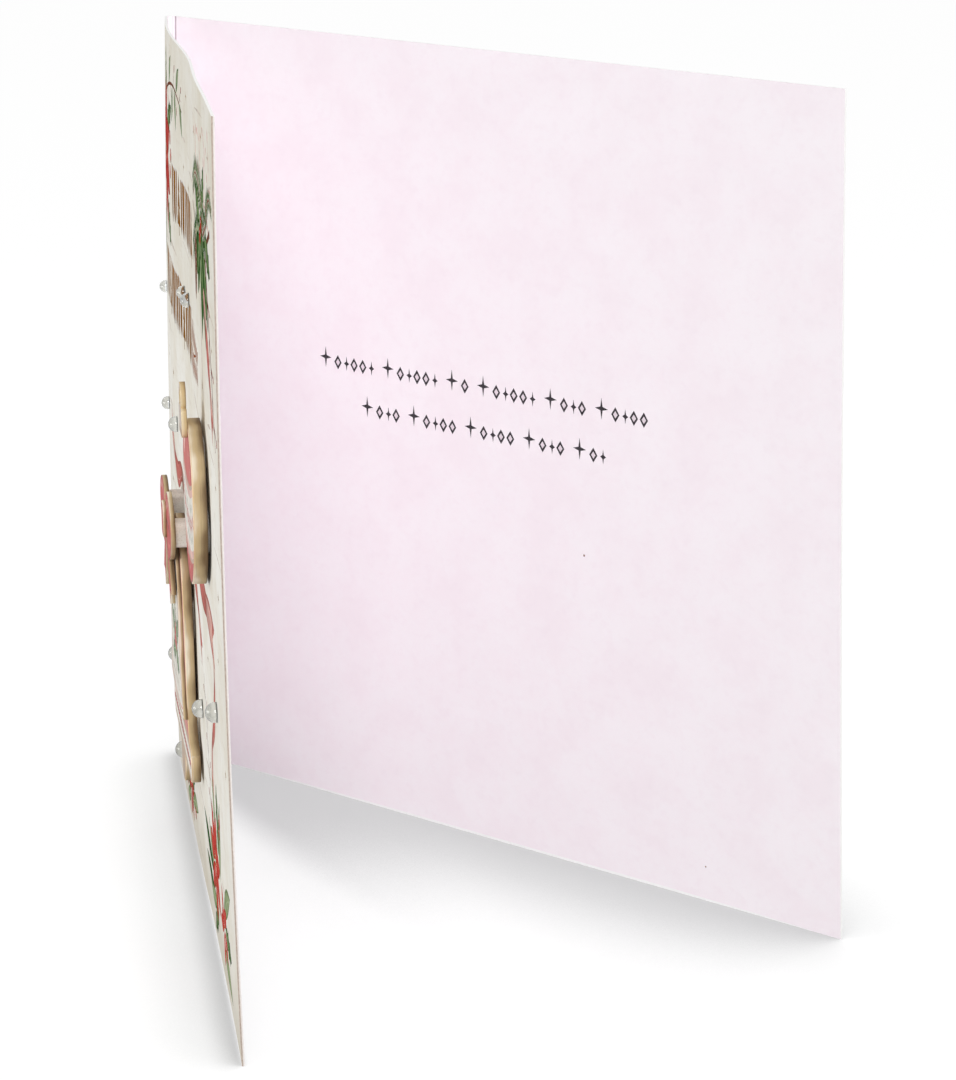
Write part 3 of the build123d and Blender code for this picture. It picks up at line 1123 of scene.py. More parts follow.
# %% Paint holly, flowers and leaves at the foot, densest at the right
paint_twig(outside, on_sheet((108, 19), (104.5, 28), (102, 37), (97.5, 47)), 0.8, 6, 9)
for base, tip, width in (
    ((112, 12), (96, 21), 4.2), ((112, 10), (94, 9), 4.0), ((122, 18), (128, 34), 4.6),
    ((128, 14), (146, 24), 4.6), ((118, 20), (110, 34), 4.2), ((126, 8), (142, 4), 4.0),
    ((41, 8), (30, 13.5), 3.6), ((46, 6), (62, 9), 3.8), ((40, 6), (30, 2.6), 3.2),
):
    ends = on_sheet(base, tip)
    paint_leaf(outside, *ends, width, toned(SAGE, 0.85), PALE_SAGE, width * 0.2)
foot_holly = (
    ((114, 10), (104, 3), 5.6), ((131, 13), (143, 12), 6.0), ((120, 22), (121, 35), 6.0),
    ((45, 8), (55, 15), 5.6), ((39, 7), (29, 8), 5.0),
)
paint_each(paint_holly, foot_holly, DEEP_GREEN, SAGE)
long_leaves = ((106, 13), (82, 17.5), 3.4), ((104, 10), (86, 11), 2.6)
paint_each(paint_leaf, long_leaves, DEEP_GREEN, GREEN)
petal_inks = toned(RED, 0.9), toned(LIGHT_RED, 1.05)
paint_flower(outside, *on_sheet((111, 17.5)), 11.0, 7, 0.2, *petal_inks)
paint_flower(outside, *on_sheet((128, 12.0)), 7.6, 5, 0.7, toned(RED, 0.95), LIGHT_RED)
paint_flower(outside, *on_sheet((43, 7.8)), 7.2, 6, 0.1)
foot_berries = (
    ((126.0, 30.0), 1.4), ((124.0, 27.2), 1.2), ((53.5, 6.0), 1.3), ((33.0, 10.8), 1.2),
    ((31.4, 5.4), 1.2),
)
paint_berries(foot_berries)
print("shapes with the foot:", len(outside.shapes))

# %% [markdown]
# Last come small stars, and two fields without ink: the back panel's outside, and a thin uneven
# strip along the foot where the sheet was trimmed just past its print.

# %% Paint small gold stars in the open ground, and leave the back panel and the foot bare
for x, z, size in (
    (30, 86, 1.3), (52, 84, 1.0), (16, 62, 1.2), (24, 40, 1.0), (95, 84, 1.2), (146, 74, 1.2),
    (140, 62, 0.9), (149, 46, 1.1), (112, 54, 0.9), (78, 128, 1.1), (66, 130, 0.8),
    (146, 113, 0.9), (20, 51, 0.7), (99, 73, 0.8), (92, 88, 0.7), (148, 92, 1.0), (12, 86, 0.8),
    (72, 143, 0.9), (104, 141, 1.0), (126, 143, 0.8), (143, 142, 1.0),
):
    outside.lay(star(*on_sheet((x, z)), size, size * 0.36, 4), GOLD, 1.0)

PAST = 1.0  # how far a field runs past the sheet's edge
free_edge = PANEL_WIDTH + PAST
foot_margin = [
    (60, -PAST), (free_edge, -PAST), (free_edge, 0.3), (152, 1.0), (138, 1.75), (96, 1.75),
    (84, 0.8), (60, 0.05),
]
outside.lay(foot_margin, None)
fold_side, head = -FOLD_TO_COVER * 0.2, CARD_HEIGHT + PAST
panel_back = [(-free_edge, -PAST), (fold_side, -PAST), (fold_side, head), (-free_edge, head)]
outside.lay(panel_back, None)
print("printed shapes outside:", len(outside.shapes))

# %% [markdown]
# ## The inside's print
#
# The inside is a pale lilac pink all over. Its only print is two centred rows of small charcoal
# lozenges and stars, in groups, each of which starts with a taller star. A thin strip along the
# foot is left white as a painted highlight, where the edge catches the light.

# %% Compose the inside of the sheet
PAGE_GROUND = colour(252, 240, 247)
inside = Print(PAGE_GROUND)


def ornament_row(start, end, foot, height, seed):
    """Groups of small ornaments between two places across the page."""
    random = np.random.default_rng(seed)
    across = start
    while across < end - 1.5:
        for k in range(int(random.integers(2, 8))):
            if across > end - 1.5:
                break
            size = height if k == 0 else height * 0.68
            place = (-(across + 1.0 + FOLD_TO_COVER), foot + size / 2)
            if k == 0:
                inside.lay(tall_star(place, size * 0.36, size / 2), CHARCOAL)
                across += 3.1
            elif k % 3 == 2:
                inside.lay(tall_star(place, size * 0.24, size / 2, 0.36), CHARCOAL)
                across += 1.9
            else:
                inside.lay(lozenge(place, size * 0.33, size / 2), CHARCOAL)
                inside.lay(lozenge(place, size * 0.33 - 0.42, size / 2 - 0.72), PAGE_GROUND)
                across += 2.2
        across += 2.2


ornament_row(38.5, 118.3, 86.5, 4.1, 5)
ornament_row(48.9, 107.1, 78.3, 4.1, 6)
for across, height, radius in ((101.5, 60.5, 0.22), (127.9, 6.6, 0.16)):
    inside.lay(circle((-(across + FOLD_TO_COVER), height), radius, 8), toned(TWIG, 1.2))
# Painted highlight: the white strip left bare along the page's foot.
foot_margin = [
    (-PANEL_WIDTH + 6, -PAST), (-14, -PAST), (-14, 0.10), (-30, 0.34), (-70, 0.46), (-122, 0.48),
    (-140, 0.30), (-PANEL_WIDTH + 6, 0.06),
]
inside.lay(foot_margin, None)
print("printed shapes inside:", len(inside.shapes))

# %% [markdown]
# ## Finishes of the sheet
#
# Four finishes share the flat place that every point of the sheet keeps. The outside mixes its
# ground and its ink, and its noise is stretched along the brush's way. Its ground is darkened
# towards the head and towards the foot as painted shade. Foil is a little smoother and more
# metallic than paint.

# %% Make the printed outside
FLAT = "flat"


def paper_grain(finish, place):
    """The paper's roughness: fine grain, and fibres that lie across the sheet."""
    fine = finish.noise(place, 5.0, 4.0, 0.7)
    fibres = finish.noise(finish.stretched(place, 0.35, 2.2, 1.0), 1.6, 3.0, 0.6)
    return fine * 0.6 + fibres * 0.4


outside_finish = Finish("printed_cover", roughness=0.62, specular_ior_level=0.0)
place = outside_finish.attribute(FLAT, "Vector")
ink = outside_finish.attribute("ink", "Color")
printed = outside_finish.attribute("printed")
foil = outside_finish.attribute("foil")
clouds = outside_finish.noise(place, 0.045, 4.0, 0.6).rising(0.35, 0.7)
blotches = outside_finish.noise(outside_finish.stretched(place, 0.5, 1.4, 1.0), 0.30, 5.0, 0.65)
brushed = outside_finish.noise(outside_finish.stretched(place, 0.08, 1.1, 1.0), 0.9, 4.0, 0.7)
flecks = outside_finish.noise(place, 1.3, 3.0, 0.6).rising(0.66, 0.78)
ground = outside_finish.mix(clouds, colour(246, 244, 237), colour(235, 230, 217))
ground = outside_finish.mix(blotches.rising(0.5, 0.74) * 0.25, ground, colour(214, 200, 182))
# Painted shade: the ground darkens towards the cover's head.
painted_shade_high = outside_finish.part(place, 1).rising(88.0, 118.0)
painted_shade_tone = outside_finish.mix(1.0, ground, colour(238, 236, 231), "MULTIPLY")
ground = outside_finish.mix(painted_shade_high * 0.6, ground, painted_shade_tone)
ground = outside_finish.mix(brushed.rising(0.56, 0.76) * 0.18, ground, colour(190, 164, 144))
ground = outside_finish.mix(flecks * 0.28, ground, colour(150, 118, 98))
# Painted shade: the ground darkens towards the foot, near the floor.
painted_shade_low = outside_finish.part(place, 1).rising(15.0, 3.0)
painted_shade_tone = outside_finish.mix(1.0, ground, colour(232, 228, 222), "MULTIPLY")
ground = outside_finish.mix(painted_shade_low * 0.9, ground, painted_shade_tone)
broad_pools = outside_finish.noise(place, 0.55, 4.0, 0.65)
pooled = broad_pools * 0.75 + outside_finish.noise(place, 2.6, 3.0, 0.6) * 0.25
worn = outside_finish.mix(pooled.rising(0.28, 0.72), toned(WHITE, 0.62), WHITE)
painted = outside_finish.mix(1.0, ink, worn, "MULTIPLY")
dry = outside_finish.noise(place, 1.9, 5.0, 0.75).rising(0.60, 0.74) * 0.25
painted = outside_finish.mix(dry * (1.0 - foil), painted, ground)
surface = outside_finish.mix(printed, ground, painted)
grain = paper_grain(outside_finish, place)
outside_finish.into(
    base_color=surface,
    metallic=foil * 0.06,
    roughness=0.66 - foil * 0.18 + grain * 0.08,
    normal=outside_finish.bump(grain + foil * 0.8 + printed * 0.1, 0.25, 0.00006),
)
print("nodes in the outside's finish:", len(outside_finish.tree.nodes))

# %% [markdown]
# The inside has soft clouds, fibres and a grain of paper too fine to see singly. At the fold's
# middle it has painted light, and beside it two thin lines of painted shade in the fold's valley.
# Its print is matt, and a little broken by the grain.

# %% Make the inside
inside_finish = Finish("printed_inside", roughness=0.7, specular_ior_level=0.15)
place = inside_finish.attribute(FLAT, "Vector")
ink = inside_finish.attribute("ink", "Color")
printed = inside_finish.attribute("printed")
clouds = inside_finish.noise(place, 0.09, 5.0, 0.62)
mottle = inside_finish.noise(place, 0.42, 4.0, 0.7)
tint = inside_finish.mix(clouds.rising(0.36, 0.66), colour(253, 247, 251), colour(251, 242, 247))
tint = inside_finish.mix(mottle.rising(0.45, 0.72) * 0.45, tint, colour(248, 238, 244))
grain = paper_grain(inside_finish, place)
tint = inside_finish.mix(grain.rising(0.52, 0.72) * 0.18, tint, colour(243, 232, 238))
from_fold = inside_finish.part(place, 0)
# Painted light at the fold's middle, and painted shade in two thin lines in its valley.
for crease, fades, full, strength, shade in (
    (0.0, 1.5, 0.9, 0.5, colour(255, 250, 252)),
    (-1.65, 0.30, 0.05, 0.75, colour(150, 128, 140)),
    (-0.7, 0.22, 0.04, 0.35, colour(214, 178, 196)),
):
    painted_fold_light_and_shade = from_fold.distance_from(crease).rising(fades, full) * strength
    tint = inside_finish.mix(painted_fold_light_and_shade, tint, shade)
dry_ink = inside_finish.mix(grain * 0.4, ink, toned(CHARCOAL, 1.9))
inside_finish.into(
    base_color=inside_finish.mix(printed, tint, dry_ink),
    roughness=0.66 + grain * 0.1,
    normal=inside_finish.bump(grain, 0.2, 0.00005),
)
print("nodes in the inside's finish:", len(inside_finish.tree.nodes))

# %% [markdown]
# The outside of the back panel and a narrow margin stay bare: white stock with its own grain.
# The cut edge is white too, with a tan painted shade along the cover's free edge, most towards the
# outside.

# %% Make the bare paper and the cut edge
bare_finish = Finish("bare_paper", roughness=0.75, specular_ior_level=0.1)
place = bare_finish.attribute(FLAT, "Vector")
grain = paper_grain(bare_finish, place)
clouds = bare_finish.noise(place, 0.12, 4.0, 0.6)
bare_tone = bare_finish.mix(clouds.rising(0.3, 0.7), colour(255, 255, 255), colour(252, 252, 251))
bare_finish.into(
    base_color=bare_finish.mix(grain.rising(0.5, 0.75) * 0.2, bare_tone, colour(246, 245, 243)),
    normal=bare_finish.bump(grain, 0.2, 0.00005),
)

edge_finish = Finish("cut_paper", roughness=0.8, specular_ior_level=0.1)
place = edge_finish.attribute(FLAT, "Vector")
fuzz = edge_finish.noise(edge_finish.stretched(place, 1.0, 1.0, 6.0), 1.8, 4.0, 0.7)
free_edge_shade = edge_finish.attribute("free_edge_shade")
edge_tone = edge_finish.mix(fuzz.rising(0.3, 0.75), colour(255, 255, 255), colour(250, 248, 245))
# Painted shade: a tan tone along the cover's free edge, darker towards the outside.
painted_edge_shade_tone = edge_finish.mix(fuzz.rising(0.3, 0.75), colour(192, 176, 164), colour(152, 134, 122))
outer_part = edge_finish.part(place, 2).rising(-0.12, 0.12)
painted_edge_shade = free_edge_shade * (0.35 + outer_part * 0.65)
edge_finish.into(base_color=edge_finish.mix(painted_edge_shade, edge_tone, painted_edge_shade_tone))
paper_finishes = [outside_finish, inside_finish, edge_finish, bare_finish]
print("paper finishes:", [finish.material.name for finish in paper_finishes])

# %% [markdown]
# ## The folded sheet
#
# Both sides are divided flat and then folded to either side of the stock, so the edges of the
# print stay exact where the sheet bends. The grid is closest over the fold, which bends most.

# %% Divide, print and fold both sides of the sheet
SHEET_CORNERS = [
    (-PANEL_WIDTH, 0.0), (PANEL_WIDTH, 0.0),
    (PANEL_WIDTH, CARD_HEIGHT), (-PANEL_WIDTH, CARD_HEIGHT),
]
OUTSIDE, INSIDE, CUT, BARE = range(4)
fold_places = np.linspace(-1.85, 1.85, 23)
panel_places = np.linspace(2.4, PANEL_WIDTH, 61)
columns = np.concatenate((-panel_places[::-1], fold_places, panel_places))
rows = np.linspace(0.0, CARD_HEIGHT, 59)
sheet_grid = [(a, z) for a in columns for z in rows]

sheet_points, sheet_faces, sheet_material = [], [], []
sheet_flat, sheet_ink, sheet_printed, sheet_foil, rings = [], [], [], [], []
for side, face in ((1, outside), (-1, inside)):
    places, triangles, owners = face.divide(SHEET_CORNERS, sheet_grid)
    inks, shine = face.inks(places, triangles, owners)
    ring = loops_of(triangles.tolist())[0]
    shares = share_round(SHEET_CORNERS, places[ring])
    start = len(sheet_points)
    rings.append(([start + corner for corner in ring], shares))
    sheet_points.extend(folded(places, side * STOCK / 2))
    sheet_flat.extend([(a, z, side * STOCK / 2) for a, z in places])
    if side < 0:
        triangles, inks = triangles[:, ::-1], inks[:, ::-1]
    sheet_faces.extend((triangles + start).tolist())
    own_finish = OUTSIDE if side > 0 else INSIDE
    sheet_material.extend(np.where(face.bare(owners), BARE, own_finish).tolist())
    sheet_ink.append(inks)
    sheet_printed.append(inks[:, 0, 3])
    sheet_foil.append(shine)
    print("side", side, "triangles:", len(triangles))

# %% [markdown]
# A strip of triangles closes the cut edge between the two sides. Its faces along the cover's
# free edge are marked, because that edge carries a painted shade.

# %% Close the cut edge and make the sheet
(outer_ring, outer_shares), (inner_ring, inner_shares) = rings
strip = zipped(inner_ring, outer_ring, inner_shares, outer_shares)
sheet_faces.extend(strip)
sheet_material.extend([CUT] * len(strip))
sheet_ink.append(np.ones((len(strip), 3, 4)))
sheet_printed.append(np.zeros(len(strip)))
sheet_foil.append(np.zeros(len(strip)))
on_free_edge = [all(sheet_flat[k][0] > PANEL_WIDTH - 0.01 for k in face) for face in strip]
sheet_edge_shade = [False] * (len(sheet_faces) - len(strip)) + on_free_edge

card = make_piece(
    "card_sheet",
    sheet_points,
    sheet_faces,
    paper_finishes,
    sheet_material,
    "folded_sheet",
    "card",
)
add_attribute(card, FLAT, "FLOAT_VECTOR", "POINT", sheet_flat)
add_attribute(card, "ink", "FLOAT_COLOR", "CORNER", np.concatenate(sheet_ink))
add_attribute(card, "printed", "FLOAT", "FACE", np.concatenate(sheet_printed))
add_attribute(card, "foil", "FLOAT", "FACE", np.concatenate(sheet_foil))
add_attribute(card, "free_edge_shade", "FLOAT", "FACE", sheet_edge_shade)
print("sheet triangles:", len(sheet_faces))

# %% [markdown]
# This mesh stands in for the CAD model's sheet, so a few thousand of its points are tried for
# how far they lie from that surface.

# %% Measure the sheet against the CAD model
cad_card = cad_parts["card"].data
corners = [vertex.co for vertex in cad_card.vertices]
cad_surface = BVHTree.FromPolygons(corners, [polygon.vertices for polygon in cad_card.polygons])
tried = sheet_points[:: max(1, len(sheet_points) // 4000)]
furthest = max(cad_surface.find_nearest(Vector(point) * MM)[3] for point in tried) / MM
print("furthest from the CAD sheet, mm:", round(furthest, 3))

# %% [markdown]
# ## Boards that are raised from the cover
#
# Each raised decoration is cut from thick board with its front printed. Its outline is read
# from the back of its CAD node, so it can't drift from it, together with the plane it lies in.


# %% Read an outline from a CAD node
def outline_of(node, middle):
    """The back face's loops in the board's own plane, the widest first, in mm. Then a function
    that puts a place of that plane, and a depth from the back, into space, and the thickness."""
    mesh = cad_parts[node].data
    corners = np.array([vertex.co for vertex in mesh.vertices]) / MM
    keys = {}
    welded = [keys.setdefault(tuple(np.round(corner, 3)), len(keys)) for corner in corners]
    spots = np.array(list(keys))
    faces = [[welded[v] for v in polygon.vertices] for polygon in mesh.polygons]
    normals = np.array([polygon.normal for polygon in mesh.polygons])
    areas = np.array([polygon.area for polygon in mesh.polygons])
    back_faces = np.where(normals[:, 1] > 0.98)[0]
    normal = -(normals[back_faces] * areas[back_faces, None]).sum(0)
    normal /= np.linalg.norm(normal)
    across = np.array((1.0, 0.0, 0.0)) - normal * normal[0]
    across /= np.linalg.norm(across)
    upward = np.cross(normal, across)
    depths = spots @ normal
    foot = min(depths[corner] for k in back_faces for corner in faces[k])
    origin = np.array(middle) - normal * (np.array(middle) @ normal - foot)
    board = depths.max() - foot
    level = [k for k in back_faces if max(depths[corner] for corner in faces[k]) < foot + 0.02]
    loops = []
    for loop in loops_of([faces[k][::-1] for k in level]):
        local = spots[loop] - origin
        loops.append(np.column_stack((local @ across, local @ upward)))
    loops.sort(key=lambda loop: -np.ptp(loop[:, 0]))

    def in_space(x, y, depth):
        return origin + across * x + upward * y + normal * depth

    return loops, in_space, board


# %% [markdown]
# A CAD outline has long straight runs and short curved ones. Points at even steps let the wall
# take its print and its rounding evenly, and every true corner keeps its point. Moving an outline
# inward gives the rounded front edge, and the rims that are printed along it.


# %% Even out an outline and move it inward
def runs_of(loop):
    """The lengths of a loop's sides, and how far round the loop each of its points is."""
    runs = np.linalg.norm(np.roll(loop, -1, axis=0) - loop, axis=1)
    return runs, np.concatenate(([0.0], np.cumsum(runs)))


def evened(loop, step):
    """The same loop with points at even steps of about this length."""
    closed = np.vstack((loop, loop[:1]))
    runs, reached = runs_of(loop)
    stops = np.arange(0, reached[-1], step)
    before, after = loop - np.roll(loop, 1, axis=0), np.roll(loop, -1, axis=0) - loop
    turned = np.abs(before[:, 0] * after[:, 1] - before[:, 1] * after[:, 0])
    corners = reached[:-1][turned > 0.5 * np.maximum(runs * np.roll(runs, 1), 1e-9)]
    free = {s for s in stops if not len(corners) or abs(corners - s).min() > step * 0.4}
    stops = sorted(free | set(corners))
    return np.column_stack([np.interp(stops, reached, closed[:, k]) for k in (0, 1)])


def inset(loop, distance):
    """The same loop, drawn in by a distance."""
    before = loop - np.roll(loop, 1, axis=0)
    after = np.roll(loop, -1, axis=0) - loop
    before /= np.linalg.norm(before, axis=1)[:, None]
    after /= np.linalg.norm(after, axis=1)[:, None]
    along = before + after
    along /= np.linalg.norm(along, axis=1)[:, None]
    share = np.maximum((before * after).sum(1) * 0.5 + 0.5, 0.25) ** 0.5
    return loop + np.column_stack((-along[:, 1], along[:, 0])) * (distance / share)[:, None]


# %% [markdown]
# The wall goes up in rings from the back to the rounded front edge, and each of its points keeps
# how far round and how far up the wall it is, so its finish can draw the board's layers.

# %% Raise a board's wall
WALL_LEVELS = 5
ROUNDING_TURNS = (0.35, 0.7, 1.05, 1.4)
PRINTED, WALL = 0, 1


class Shell:
    """A board's points and faces while it is built up, in the plane of its CAD node."""

    def __init__(self, in_space):
        self.in_space = in_space
        self.points, self.flat, self.faces, self.finish_of_face = [], [], [], []

    def add_points(self, places, depth, flat):
        first = len(self.points)
        self.points.extend(self.in_space(x, y, depth) for x, y in places)
        self.flat.extend(flat)
        return list(range(first, len(self.points)))

    def add_faces(self, faces, finish):
        self.faces.extend(faces)
        self.finish_of_face.extend([finish] * len(faces))


def raise_wall(shell, loop, board, rounding):
    """Adds the wall over one outline, and gives its back ring and its front ring."""
    levels = [(depth, 0.0) for depth in np.linspace(0, board - rounding, WALL_LEVELS)]
    if rounding:
        for turn in ROUNDING_TURNS:
            rise, drawn_in = rounding * math.sin(turn), rounding * (1 - math.cos(turn))
            levels.append((board - rounding + rise, drawn_in))
    _, reached = runs_of(loop)
    around = [(k, (k + 1) % len(loop)) for k in range(len(loop))]
    rings = []
    for depth, drawn_in in levels:
        flat = [(reached[k], depth / board, reached[-1]) for k, _ in around]
        rings.append(shell.add_points(inset(loop, drawn_in), depth, flat))
    for before, ring in zip(rings, rings[1:]):
        shell.add_faces([(before[k], before[n], ring[n], ring[k]) for k, n in around], WALL)
    return rings[0], rings[-1]


# %% [markdown]
# The front and the back are divided flat. A strip joins each to the nearest ring of the wall,
# because the print's edges add points to the rim that the wall doesn't have.

# %% Close a board's front and back
FRONT_GRID = 1.4


def close_face(shell, field, edges, depth, finish):
    """Adds the front or the back, divided along its print and joined to the wall's rings."""
    front = finish == PRINTED
    shape, grid = edges[0][1], []
    if front:
        low, high = shape.min(0) + 0.4, shape.max(0)
        columns, rows = (np.arange(low[k], high[k], FRONT_GRID) for k in (0, 1))
        grid = [(x, y) for x in columns for y in rows]
    places, triangles, owners = field.divide(shape, grid, [hole for _, hole in edges[1:]])
    inks, shine = field.inks(places, triangles, owners)
    corners = shell.add_points(places, depth, [(x, y, -1.0) for x, y in places])
    for rim in loops_of(triangles.tolist()):
        width = np.ptp(places[rim][:, 0])
        wall, loop = min(edges, key=lambda edge: abs(width - np.ptp(edge[1][:, 0])))
        joined = [
            (wall, share_round(loop, loop)),
            ([corners[k] for k in rim], share_round(loop, places[rim])),
        ]
        (first, first_at), (second, second_at) = joined if front else joined[::-1]
        shell.add_faces(zipped(first, second, first_at, second_at), WALL)
    if not front:
        triangles, inks = triangles[:, ::-1], inks[:, ::-1]
    first_face = len(shell.faces)
    shell.add_faces((triangles + corners[0]).tolist(), finish)
    return first_face, inks, shine


# %% [markdown]
# The steps come together here: outline, print, wall, front and back. The inks are handed to the
# mesh last, when Blender has numbered the corners of its faces.


# %% Build a printed board on a CAD node's outline
def build_board(name, node, middle, compose, finishes, slot, rounding, step):
    """compose turns the outline into the front's Print. finishes are the front's and the wall's."""
    loops, in_space, board = outline_of(node, middle)
    loops = [evened(loop, step) for loop in loops]
    face = compose(loops[0])
    shell = Shell(in_space)
    rings = [raise_wall(shell, loop, board, rounding) for loop in loops]
    front_edges = [(ring, inset(loop, rounding)) for (_, ring), loop in zip(rings, loops)]
    back_edges = [(ring, loop) for (ring, _), loop in zip(rings, loops)]
    fields = [
        close_face(shell, face, front_edges, board, PRINTED),
        close_face(shell, Print(face.ground), back_edges, 0.0, WALL),
    ]

    piece = make_piece(name, shell.points, shell.faces, finishes, shell.finish_of_face, slot, node)
    count = len(shell.faces)
    corner_ink = np.ones((len(piece.data.loops), 4))
    face_foil, face_printed = np.zeros(count), np.zeros(count)
    loop_start = np.zeros(count, np.int32)
    piece.data.polygons.foreach_get("loop_start", loop_start)
    for first_face, inks, shine in fields:
        last_face, begin = first_face + len(inks), loop_start[first_face]
        corner_ink[begin : begin + len(inks) * 3] = inks.reshape(-1, 4)
        face_printed[first_face:last_face] = inks[:, 0, 3]
        face_foil[first_face:last_face] = shine
    add_attribute(piece, FLAT, "FLOAT_VECTOR", "POINT", shell.flat)
    add_attribute(piece, "ink", "FLOAT_COLOR", "CORNER", corner_ink)
    add_attribute(piece, "printed", "FLOAT", "FACE", face_printed)
    add_attribute(piece, "foil", "FLOAT", "FACE", face_foil)
    print(name, "board mm:", round(float(board), 2), "faces:", count)


# %% [markdown]
# ## Finishes of the boards
#
# The front of a board is printed like the cover, with ink that has pooled and dried unevenly.
# Its foil catches the light as metal does.


# %% Make the printed front of a board
def printed_board(name, roughness=0.5):
    finish = Finish(name, roughness=roughness, specular_ior_level=0.3)
    place = finish.attribute(FLAT, "Vector")
    foil = finish.attribute("foil")
    pooled = finish.noise(place, 0.35, 4.0, 0.65) * 0.6 + finish.noise(place, 1.7, 4.0, 0.6) * 0.4
    worn = finish.mix(pooled.rising(0.28, 0.74), toned(WHITE, 0.58), WHITE)
    painted = finish.mix(1.0, finish.attribute("ink", "Color"), worn, "MULTIPLY")
    dry = finish.noise(finish.stretched(place, 0.6, 1.6, 1.0), 1.4, 5.0, 0.75).rising(0.62, 0.76)
    painted = finish.mix(dry * 0.35 * (1.0 - foil), painted, CREAM)
    grain = paper_grain(finish, place)
    finish.into(
        base_color=painted,
        metallic=foil * 0.92,
        roughness=roughness - foil * 0.22 + grain * 0.1,
        normal=finish.bump(grain + foil * 0.8, 0.3, 0.00008),
    )
    return finish


# %% [markdown]
# A board's wall is where the blade or laser went through: layers that run round it, nearly white
# towards the front and darker towards the back, with patches where the cut was hotter. A painted
# shadow darkens the wall's back, where it meets the cover, and a painted highlight of pale gold,
# a little metallic, runs along its front corner.


# %% Make the cut wall, and name the boards' finishes
def cut_board(name, pale, middle_tone, dark, painted_highlight):
    finish = Finish(name, roughness=0.5, specular_ior_level=0.35)
    place = finish.attribute(FLAT, "Vector")
    through = finish.part(place, 1)
    streaks = finish.noise(finish.stretched(place, 0.16, 1.8, 0.0), 0.8, 4.0, 0.6)
    broad = finish.noise(finish.stretched(place, 0.5, 0.5, 0.0), 0.16, 2.0, 0.5)
    layers = finish.noise(finish.stretched(place, 0.04, 7.0, 0.0), 1.0, 2.0, 0.6)
    towards_front = through * 0.75 + (streaks - 0.5) * 0.5 + (broad - 0.5) * 2.0 + 0.06
    tone = finish.mix(towards_front.rising(0.0, 0.55), dark, middle_tone)
    tone = finish.mix(towards_front.rising(0.50, 0.95), tone, pale)
    tone = finish.mix(layers.rising(0.58, 0.68) * 0.28, tone, toned(dark, 0.85))
    # Painted shadow: the back of the wall darkens where it meets the cover.
    tone = finish.mix(through.rising(0.12, 0.0) * 0.75, tone, toned(dark, 0.35))
    # Painted highlight: a pale gold band along the front corner.
    corner = through.rising(0.86, 0.95)
    tone = finish.mix(corner * 0.6, tone, painted_highlight)
    finish.into(
        base_color=tone,
        metallic=corner * 0.35 + streaks.rising(0.5, 0.7) * 0.12,
        roughness=0.55 - corner * 0.20 + layers * 0.15,
        normal=finish.bump(streaks * 0.5 + layers, 0.35, 0.00012),
    )
    return finish


board_front = printed_board("board_front")
# The last colour given to each wall is its painted highlight.
wall_tones = colour(250, 240, 222), colour(198, 174, 134), colour(114, 90, 60)
board_wall = cut_board("board_wall", *wall_tones, colour(206, 170, 124))
gold_front = printed_board("gold_front", 0.42)
gold_tones = colour(238, 222, 188), colour(208, 182, 138), colour(154, 124, 84)
gold_wall = cut_board("gold_wall", *gold_tones, colour(230, 206, 160))
board_finishes, gold_finishes = [board_front, board_wall], [gold_front, gold_wall]
print("board finishes:", [finish.material.name for finish in board_finishes + gold_finishes])

# %% [markdown]
# ## The bell, its panel and its bow
#
# The bell is a thick board with a gold rim, a row of red dots and a rose body. A thinner cream
# panel with holly on it lies over its body. Their prints are drawn from the bell's mouth up.

# %% Compose the bell and its panel
BELL_ACROSS, BELL_UP = 61.0, 22.0
BOW_ABOVE_MOUTH = 43.5
bell_mouth = on_cover(BELL_ACROSS, BELL_UP)
bow_middle = on_cover(BELL_ACROSS, BELL_UP + BOW_ABOVE_MOUTH)


def nested(face, loop, steps):
    """The outline again and again, each further in, in its own ink."""
    for distance, ink, foil in steps:
        face.lay(inset(loop, distance), ink, foil)


def bell_print(loop):
    face = Print(ROSE)
    face.lay(loop * 1.02, toned(DEEP_RED, 1.25))
    for foot, head, ink, foil in (
        (-8.0, 0.0, GOLD, 0.9), (0.0, 1.3, GOLD, 0.9), (1.3, 5.9, CREAM, 0.0),
        (5.9, 7.2, GOLD, 0.9), (7.2, 9.0, ROSE, 0.0), (9.0, 50.0, toned(ROSE, 0.9), 0.0),
    ):
        face.lay([(-26, foot), (26, foot), (26, head), (-26, head)], ink, foil)
    for k in range(-10, 11):
        paint_berry(face, (k * 2.15, 3.6), 0.85)
    for k in range(-10, 10):
        face.lay(lozenge((k * 2.15 + 1.07, 3.6), 0.35, 0.8), DEEP_GREEN)
    for side in (-1, 1):
        sheen = [(20.5 * side, 8.2), (15.0 * side, 20.0), (12.4 * side, 31.0), (9.5 * side, 39.0)]
        face.lay(stroke(sheen, 1.0, 0.6), BLUSH)
    face.lay(circle((0, -3.2), 2.0), toned(GOLD, 0.7), 0.9)
    face.lay(circle((-0.5, -2.8), 1.1), toned(GOLD, 1.25), 0.9)
    return face


